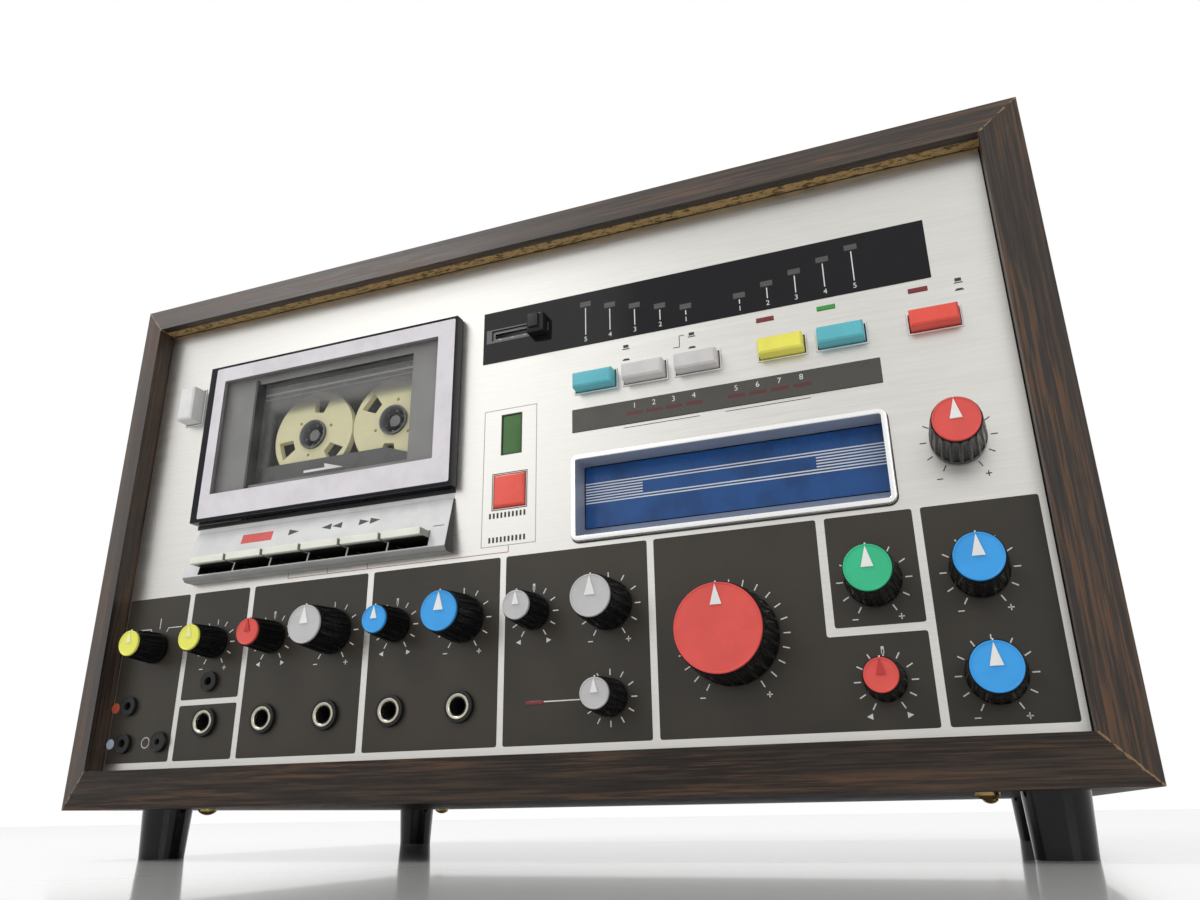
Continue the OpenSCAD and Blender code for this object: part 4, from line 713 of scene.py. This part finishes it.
print_on("slide_marks", [shape for x in (-6.2, -0.3, 5.4)
                         for shape in (line(x - 0.8, 169.25, x, 170.1, 0.3),
                                       line(x, 170.1, x + 0.8, 169.25, 0.3))],
         INK_WHITE, out=FIELD_OUT + 0.04)
film("programme_film", [rectangle(27.5, 146.5, 120.9, 130.6)], [], STRIP_TAUPE,
     out=STRIP_OUT - 0.04)
SONGS = [53.8, 61.7, 69.6, 77.7, 94.1, 102.2, 110.3, 118.4]
numerals("programme_figures", [(str(i + 1), x, 128.1) for i, x in enumerate(SONGS)], 2.2, INK_WHITE,
         STRIP_OUT)
print_on("programme_lamps", [rectangle(*box_at(x, 125.1, 3.25, 0.7)) for x in SONGS],
         moulded("programme_lamp", (0.10, 0.016, 0.016), 0.25), out=STRIP_OUT)

# ----------------------------------------------------------------- sockets

BORE_BLACK = moulded("socket_bore", (0.004, 0.004, 0.004), 0.6)
RING_GREY = moulded("small_socket_face", (0.05, 0.051, 0.054), 0.3)

for i, (x, h) in enumerate(SOCKETS):
    bm = bmesh.new()
    turned(bm, x, h, [(5.95, 0), (5.95, 1.45), (5.75, 1.8), (5.4, 1.9), (4.95, 1.85), (4.8, 1.6)])
    turned(bm, x, h, [(4.8, 1.6), (4.78, 1.95), (4.6, 2.15), (4.2, 2.2), (3.75, 2.05), (3.45, 1.7),
                      (3.15, 1.3), (3.15, 0.3)], slot=1)
    turned(bm, x, h, [(3.15, 0.3), (3.12, -12)], slot=2, ends=1)
    piece("socket_%d_dressed" % i, mesh_of(bm, "socket"), [BLACK, SOCKET_METAL, BORE_BLACK],
          "cabinet", smooth=40)
for i, (x, h, bore) in enumerate(SMALL_SOCKETS):
    bm = bmesh.new()
    turned(bm, x, h, [(4.15, 0), (4.15, 1.5), (3.95, 1.85), (3.6, 1.9), (3.35, 1.7), (3.3, 1.45)])
    turned(bm, x, h, [(3.3, 1.45), (3.1, 1.5), (bore + 0.25, 1.55), (bore - 0.05, 1.3)], slot=1)
    turned(bm, x, h, [(bore - 0.05, 1.3), (bore - 0.06, -8)], slot=2, ends=1)
    piece("small_socket_%d_dressed" % i, mesh_of(bm, "small_socket"),
          [BLACK, RING_GREY, BORE_BLACK], "cabinet", smooth=40)

# -------------------------------------------------------- keys and buttons

SQUARE_ON = 0.8                             # a face looks along an axis from this share on


def tinted(thing, extra, choose):
    """Gives each face of a piece the material whose number choose(place, normal) returns.

    The place is (x, h, out) in millimetres, and extra holds the materials from number 1 on."""
    for material in extra:
        thing.data.materials.append(material)
    for face in thing.data.polygons:
        x, y, z = face.center
        place = (x / MM, (z - FLOOR) / MM, (FACE - y) / MM)
        face.material_index = choose(place, face.normal)


for name, _, tint in BUTTONS:
    softened("button_" + name, 0.3, BUTTON[tint], name + "_button")
softened("button_search", 0.25, BUTTON["red"], "search_button")
softened("button_eject", 0.3, BUTTON["silver"], "eject_button")
softened("slide_grip", 0.3, BLACK, "slide_control", segments=2)
KEY_BOTTOM = 83.7


def key_cream():
    """Cream keys, with painted shade: near black underneath, where they run into the housing."""
    p = Paint("key_cream", (0.82, 0.82, 0.73), 0.35)
    _, y, z = p.parts(p.place())
    cloud = p.noise(p.place(), 90, 3, 0.6)
    # painted shade: the key's underside turns near black towards the housing
    under = (z < FLOOR + (KEY_BOTTOM + 0.25) * MM) * y.between(FACE - 11.2 * MM, FACE - 8.6 * MM)
    tone = p.mix(cloud.between(0.35, 0.7), (0.84, 0.84, 0.75), (0.77, 0.77, 0.68))
    p.set("Base Color", p.mix(under, tone, (0.012, 0.012, 0.011)))
    p.set("Roughness", cloud.between(0.3, 0.7, 0.3, 0.42))
    p.bump(p.noise(p.place(), 2500, 3, 0.6), 0.006)
    return p.material


def key_part(place, normal):
    """Which finish a face of a key has: cream, or darker painted shade on its sides."""
    return 1 if abs(normal.x) > SQUARE_ON else 0


CREAM = key_cream()
# painted shade: the keys' sides are a darker grey-green copy of the cream
KEY_SIDE_PAINTED_SHADE = moulded("key_side", (0.30, 0.315, 0.28), 0.4, 0.006)
for name in ("stop", "record", "play", "rewind", "forward", "pause"):
    tinted(softened("key_" + name, 0.3, CREAM, name + "_key"), [KEY_SIDE_PAINTED_SHADE], key_part)

HOUSING_SHADE = moulded("housing_lip", (0.30, 0.305, 0.30), 0.35, 0.006)
# painted shade: black for the inside of the key slots, the housing's right end and the gap under
# the door
HOUSING_PAINTED_SHADE = moulded("housing_slots", (0.012, 0.012, 0.012), 0.5, 0.006)
SLOTS_LEFT, SLOTS_RIGHT, SLOTS_LOW, SLOTS_HIGH = -155, -26, 78.6, 100
HOUSING_LIP = 79.6                          # top of the lip below the keys


def housing_part(place, normal):
    """Which finish a face of the key housing has: silver, the darker lip, or black painted shade.
    """
    x, h, _ = place
    slot_side = abs(normal.x) > SQUARE_ON and SLOTS_LEFT < x < SLOTS_RIGHT
    slot_roof = abs(normal.z) > SQUARE_ON and SLOTS_LOW < h < SLOTS_HIGH
    right_end = normal.x > SQUARE_ON and x > SLOTS_RIGHT
    if slot_side or slot_roof or right_end:
        return 2
    return 1 if h < HOUSING_LIP else 0


tinted(softened("key_housing", 0.3, SILVER_PLASTIC, "cabinet", segments=2),
       [HOUSING_SHADE, HOUSING_PAINTED_SHADE], housing_part)
# painted shadow: a black strip in the gap under the door
print_on("door_gap", [rectangle(-157.6, -24.2, 103.1, 105.1)], HOUSING_PAINTED_SHADE)
print_on("housing_top_edge", [rectangle(-156.0, -24.5, 100.9, 103.1)], SILVER_PLASTIC)
SLOPE_LOW, SLOPE_HIGH, SLOPE_LOW_OUT, SLOPE_HIGH_OUT = 79.4, 100.8, 6.5, 0.8


def on_housing(x, h, out=0.0):
    """A place on the sloped face of the key housing."""
    share = (h - SLOPE_LOW) / (SLOPE_HIGH - SLOPE_LOW)
    return spot(x, h, SLOPE_LOW_OUT + (SLOPE_HIGH_OUT - SLOPE_LOW_OUT) * share + out)


KEY_ARROWS = [(-98.9, -104.2, 95.3), (-87.4, -82.4, 95.4), (-82.0, -77.0, 95.4),
              (-63.4, -68.4, 95.4), (-58.0, -63.0, 95.4)]    # x of the tip and of the foot, h
print_on("key_signs", [[(tip, h), (foot, h - 1.4), (foot, h + 1.4)] for tip, foot, h in KEY_ARROWS]
         + [rectangle(-31.6, -26.5, 88.6, 88.9)], INK_BLACK, place=on_housing)
print_on("record_sign", [rectangle(-129.3, -112.9, 92.9, 97.2)],
         printed("record_red", (0.70, 0.08, 0.07), 0.4, ON_PLASTIC), place=on_housing)

# ------------------------------------------------------------------- lamps

LENS_GREEN = moulded("search_lens", (0.045, 0.15, 0.028), 0.14, 0.003, Specular_IOR_Level=0.35)


def lamp_part(place, normal):
    """Which lens a face belongs to: a red one, the green one, or the search window."""
    x, h, _ = place
    if h > 100 and abs(x - 0.6) < 6:
        return 2
    return 1 if h > 100 and abs(x - 129.9) < 5 else 0


tinted(softened("lamp_lenses", 0.2, LAMP_RED, "cabinet", segments=2), [LAMP_GREEN, LENS_GREEN],
       lamp_part)

# ---------------------------------------------------------- cartridge slot

SLOT = (27.2, 146.3, 76.0, 110.7)
RECESS = (29.2, 144.3, 78.0, 108.7)
FLAP_DEPTH = 8.3
RIM_WHITE = brushed("slot_rim", (0.90, 0.90, 0.89), 0.25, 0.06, metal=0.6, shade=0.01)
RECESS_METAL = brushed("slot_recess", (0.40, 0.44, 0.52), 0.34, 0.1, metal=0.35, shade=0.05)


def loop_of(bm, box, grow, corner, out, lift=0.0):
    """A ring of points along a rounded box; lift raises its lower edge."""
    x0, x1, h0, h1 = grown(box, grow)
    return [bm.verts.new(spot(x, h, out)) for x, h in rectangle(x0, x1, h0 + lift, h1, corner, 6)]


bm = bmesh.new()
loops = [loop_of(bm, *loop) for loop in (
    (SLOT, 0, 3.0, 0), (SLOT, 0, 3.0, 1.5), (SLOT, -0.25, 2.8, 1.9), (SLOT, -0.6, 2.5, 2.0),
    (RECESS, 0.3, 1.2, 2.0), (RECESS, 0.05, 0.9, 1.85), (RECESS, 0, 0.8, 1.4),
    (RECESS, 0, 0.8, -7.95, 5.0))]
for first, second in zip(loops, loops[1:]):
    join_rings(bm, first, second, 1 if second is loops[-1] else 0)
piece("slot_frame_dressed", mesh_of(bm, "slot_frame"), [RIM_WHITE, RECESS_METAL], "cabinet",
      "slot_frame", smooth=30)
film("slot_shadow_line", [rectangle(26.8, 146.7, 75.4, 110.8, 3.4)],
     [rectangle(*grown(RECESS, 0.2), 1.0)], INK_BLACK)

repaint("track_flap", moulded("flap_blue", (0.010, 0.078, 0.27), 0.3, 0.004, shade=0.16,
                              Specular_IOR_Level=0.35))
STRIPE_TOP, STRIPE_PITCH, STRIPE_WIDTH = 101.5, 1.13, 0.46
stripes = []
for i in range(8):
    h = STRIPE_TOP - STRIPE_PITCH * i
    # the two highest and the two lowest run through, the others stop short of the middle
    runs = [(29.6, 143.9)] if i in (0, 1, 6, 7) else [(29.6, 53.2), (119.5, 143.9)]
    stripes += [line(x0, h, x1, h, STRIPE_WIDTH) for x0, x1 in runs]
print_on("flap_stripes", stripes, printed("flap_white", (0.78, 0.79, 0.80), 0.35, ON_PLASTIC),
         "slot_flap", out=-FLAP_DEPTH)

# ----------------------------------------------------------- cassette door

BEZEL = moulded("door_bezel", (0.72, 0.69, 0.73), 0.16, 0.002, 1500, Specular_IOR_Level=0.5)
DOOR_EDGE = moulded("door_edge", (0.007, 0.007, 0.011), 0.06, 0.002, Specular_IOR_Level=0.14)
MASK_GREY = moulded("door_mask", (0.215, 0.212, 0.205), 0.5)
DARK_INSIDE = moulded("door_inside", (0.03, 0.03, 0.03), 0.6)
WINDOW_BOX = (-148.8, -33.2, 117.8, 174.2)
DOOR_LEFT, DOOR_RIGHT, DOOR_LOW, DOOR_HIGH = -157, -25, 106, 181.5    # past these is its edge


def door_part(place, normal):
    """Glossy black outside, grey on the mask and round the window, dull black within."""
    x, h, out = place
    x0, x1, h0, h1 = grown(WINDOW_BOX, 0.5)
    window_side = out > 3 and abs(normal.y) < SQUARE_ON and x0 < x < x1 and h0 < h < h1
    mask = 1.2 < out < 1.8 and normal.y < -SQUARE_ON
    if window_side or mask:
        return 1
    edge = out > 4.7 or x < DOOR_LEFT or x > DOOR_RIGHT or h < DOOR_LOW or h > DOOR_HIGH
    return 0 if edge else 2


tinted(softened("door_cover", 0.25, DOOR_EDGE, "cassette_door", segments=2),
       [MASK_GREY, DARK_INSIDE], door_part)
film("door_bezel_face", [rectangle(-154.3, -25.0, 106.7, 181.2, 0.8)],
     [rectangle(*WINDOW_BOX, 0.3)], BEZEL, "cassette_door", out=5.0)


def clear_plastic(name, colour, alpha, roughness=0.06):
    """Clear or smoked sheet, a little uneven."""
    p = Paint(name, colour, roughness)
    cloud = p.noise(p.place(), 60, 3, 0.6)
    p.set("Alpha", cloud.between(0.3, 0.75, alpha - 0.02, alpha + 0.03))
    p.set("Roughness", cloud.between(0.35, 0.7, roughness, roughness + 0.08))
    return p


def cassette_plastic():
    """Clear plastic with painted shadow: grey and less clear towards the top and at the left end.
    """
    p = clear_plastic("cassette_clear", (0.17, 0.167, 0.16), 0.1, 0.12)
    x, _, z = p.parts(p.place())
    # painted shadow: the shell turns grey and less clear at the top and at the left end
    top = (z - FLOOR).between(153.5 * MM, 160.5 * MM)
    side = (0.0 - x).between(121.5 * MM, 127.5 * MM)
    p.set("Alpha", (0.04 + 0.55 * top).most(0.5 * side))
    return p


CASSETTE_OUT, CASSETTE_LEFT, CASSETTE_RIGHT = -2.1, -129.6, -30.6
repaint("door_window", clear_plastic("window_clear", (0.30, 0.30, 0.30), 0.03).material)
repaint("cassette_shell", cassette_plastic().material)
print_on("tape_arrow", [[(-99.0, 121.4), (-78.3, 121.4), (-88.4, 124.4), (-88.0, 122.5),
                         (-99.0, 122.5)]], INK_WHITE, "cassette_door", out=3.28)
print_on("cassette_lower_band", [[(-130, 110), (-30.2, 110), (-30.2, 118), (-49.8, 125.7),
                                  (-61.4, 129.6), (-130, 129.6)]],
         moulded("cassette_band", (0.060, 0.060, 0.058), 0.3, 0.003), "cassette_door",
         out=CASSETTE_OUT)
# painted highlights: light grey lines across the cassette's upper part
print_on("cassette_ridges", [line(CASSETTE_LEFT, h, CASSETTE_RIGHT, h, width)
                             for h, width in ((166.0, 0.9), (169.0, 0.4), (163.4, 0.35))],
         moulded("cassette_ridge", (0.27, 0.268, 0.26), 0.25, 0.003), "cassette_door",
         out=CASSETTE_OUT)

REEL_CREAM = moulded("reel_cream", (0.97, 0.92, 0.56), 0.45, shade=0.01)
HUB_GREY = moulded("hub_grey", (0.10, 0.10, 0.105), 0.2, 0.003, Specular_IOR_Level=0.6)
REEL_H, REEL_R, REEL_FRONT, REEL_BACK, HUB_R = 142.5, 20.9, -3.6, -6.8, 7.0
SECTOR = [(11.0, -13), (18.8, -14.5), (18.8, 14.5), (11.0, 13)]    # radius and turn of its corners


def reel(name, x, turn):
    """A flanged reel with three openings, three small holes and a toothed hub."""
    holes = [disc(x, REEL_H, HUB_R, 48)]
    holes += [[polar(x, REEL_H, r, turn + 60 + third + aside) for r, aside in SECTOR]
              for third in (0, 120, 240)]
    holes += [disc(*polar(x, REEL_H, 9.8, turn + third), 0.8, 14) for third in (0, 120, 240)]
    rim = disc(x, REEL_H, REEL_R, 96)
    bm = bmesh.new()
    for out in (REEL_FRONT, REEL_BACK):
        sheet(bm, rim, holes, out)
    for loop in [rim] + holes:
        front, back = [[bm.verts.new(spot(*point, out)) for point in loop]
                       for out in (REEL_FRONT, REEL_BACK)]
        join_rings(bm, front, back)
    turned(bm, x, REEL_H, [(HUB_R, REEL_FRONT), (HUB_R, -2.6), (6.7, -2.3), (6.3, -2.3),
                           (5.6, -3.2), (5.25, -4.0), (5.25, -9.0)], slot=1)
    for sixth in range(0, 360, 60):
        root, tip = [polar(x, REEL_H, r, turn + sixth) for r in (5.4, 4.3)]
        prism(bm, line(*tip, *root, 0.8), -7.6, -4.6, 1)
    bmesh.ops.remove_doubles(bm, verts=bm.verts, dist=WELD)
    piece("reel_%s_dressed" % name, mesh_of(bm, "reel_" + name), [REEL_CREAM, HUB_GREY],
          "tape_reel_" + name, "reel_" + name, smooth=35)


reel("left", -101.35, 19)
reel("right", -58.85, 81)


# ----------------------------------------------------------- carried nodes

def deck_steel():
    """Steel, with painted shade: black round the head, so that nothing shines under the door."""
    p = Paint("deck_steel", (0.5, 0.51, 0.52), 0.4)
    _, y, z = p.parts(p.place())
    # painted shade: black round the head, where it is seen under the door
    dark = (z < FLOOR + 107.5 * MM) * (y < FACE + 14 * MM)
    lines = p.noise(p.stretch(p.place(), along(0, 0.012)), 2400, 3, 0.6)
    steel = p.mix(lines.between(0.3, 0.7), (0.40, 0.41, 0.42), (0.55, 0.56, 0.57))
    p.set("Base Color", p.mix(dark, steel, (0.012, 0.012, 0.012)))
    p.set("Metallic", 1 - dark)
    p.set("Roughness", lines.between(0.3, 0.7, 0.34, 0.46))
    p.bump(lines, 0.02)
    return p.material


for node, material in {
    "cabinet_top": WOOD_ALONG_X, "cabinet_bottom": WOOD_ALONG_X, "cabinet_left": WOOD_ALONG_Z,
    "cabinet_right": WOOD_ALONG_Z,
    "back_cover": moulded("hardboard", (0.10, 0.06, 0.03), 0.7, 0.05, 1200),
    "legs": FOOT_BLACK, "fasteners": BRASS, "mains_inlet": BLACK, "front_panel": ALUMINIUM,
    "chassis_tray": STEEL, "amplifier_unit": moulded("board_lacquer", (0.03, 0.12, 0.05), 0.4),
    "control_pots": STEEL, "switch_bank": STEEL, "jack_sockets": BLACK,
    "display_strips": STRIP_BLACK, "cassette_deck": deck_steel(), "track_deck": STEEL,
    "spindle_left": HUB_GREY, "spindle_right": HUB_GREY, "cassette_flywheel": BRASS,
    "track_flywheel": BRASS,
}.items():
    repaint(node, material)

# -------------------------------------------------------- camera and light

EYE = (161.6, -20.2, 317.6)                 # x, h and out of the camera
CAMERA_TURN = (111.215, 0.840, 21.4315)     # its tilt, roll and heading in degrees
LENS, SENSOR = 28.245, 36
AIM = Vector((0, 0, 0.1))                   # what the lamps look at, in metres
SKY_AS_LIGHT, SKY_SEEN = 0.58, 1.0
WHITE = (1, 1, 1)
TABLE_HALF = 6.0                            # half the side of the table, in metres

scene = bpy.context.scene
camera = link("camera", bpy.data.cameras.new("camera"))
turn = Euler([radians(angle) for angle in CAMERA_TURN]).to_matrix().to_4x4()
camera.matrix_world = Matrix.Translation(spot(*EYE)) @ turn
camera.data.lens, camera.data.sensor_width = LENS, SENSOR
camera.data.clip_start = 0.01
scene.camera = camera
scene.view_settings.view_transform = "Standard"


def softbox(name, place, size, power):
    """A square lamp, size metres wide, that looks at the object."""
    data = bpy.data.lights.new(name, "AREA")
    data.shape, data.size, data.energy = "SQUARE", size, power
    lamp = link(name, data)
    lamp.location = place
    lamp.rotation_euler = (AIM - Vector(place)).to_track_quat("-Z", "Y").to_euler()


softbox("ceiling_softbox", (-0.9, -0.75, 1.6), 0.7, 10)
softbox("window_softbox", (-0.8, -1.3, 0.8), 0.8, 1.7)
softbox("front_softbox", (1.1, -1.5, 0.7), 1.0, 5)

# the room is white to the camera and in reflections, and dimmer as a light
world = bpy.data.worlds.new("studio")
world.use_nodes = True
scene.world = world
sky = Nodes(world.node_tree)
seen, mirrored = [sky.node("LightPath", {}, {}, "Is %s Ray" % ray) for ray in ("Camera", "Glossy")]
dim, full = [sky.node("Background", {}, {"Color": WHITE, "Strength": strength})
             for strength in (SKY_AS_LIGHT, SKY_SEEN)]
sky.put(world.node_tree.nodes["World Output"].inputs["Surface"],
        sky.node("MixShader", {}, {0: seen.most(mirrored), 1: dim, 2: full}))

mesh = bpy.data.meshes.new("table")
corners = [(x, y, 0) for x, y in rectangle(-TABLE_HALF, TABLE_HALF, -TABLE_HALF, TABLE_HALF)]
mesh.from_pydata(corners, [], [(0, 1, 2, 3)])
mesh.materials.append(Paint("white_table", (0.93, 0.93, 0.92), 0.12, Coat_Weight=0.3).material)
table = link("table", mesh)
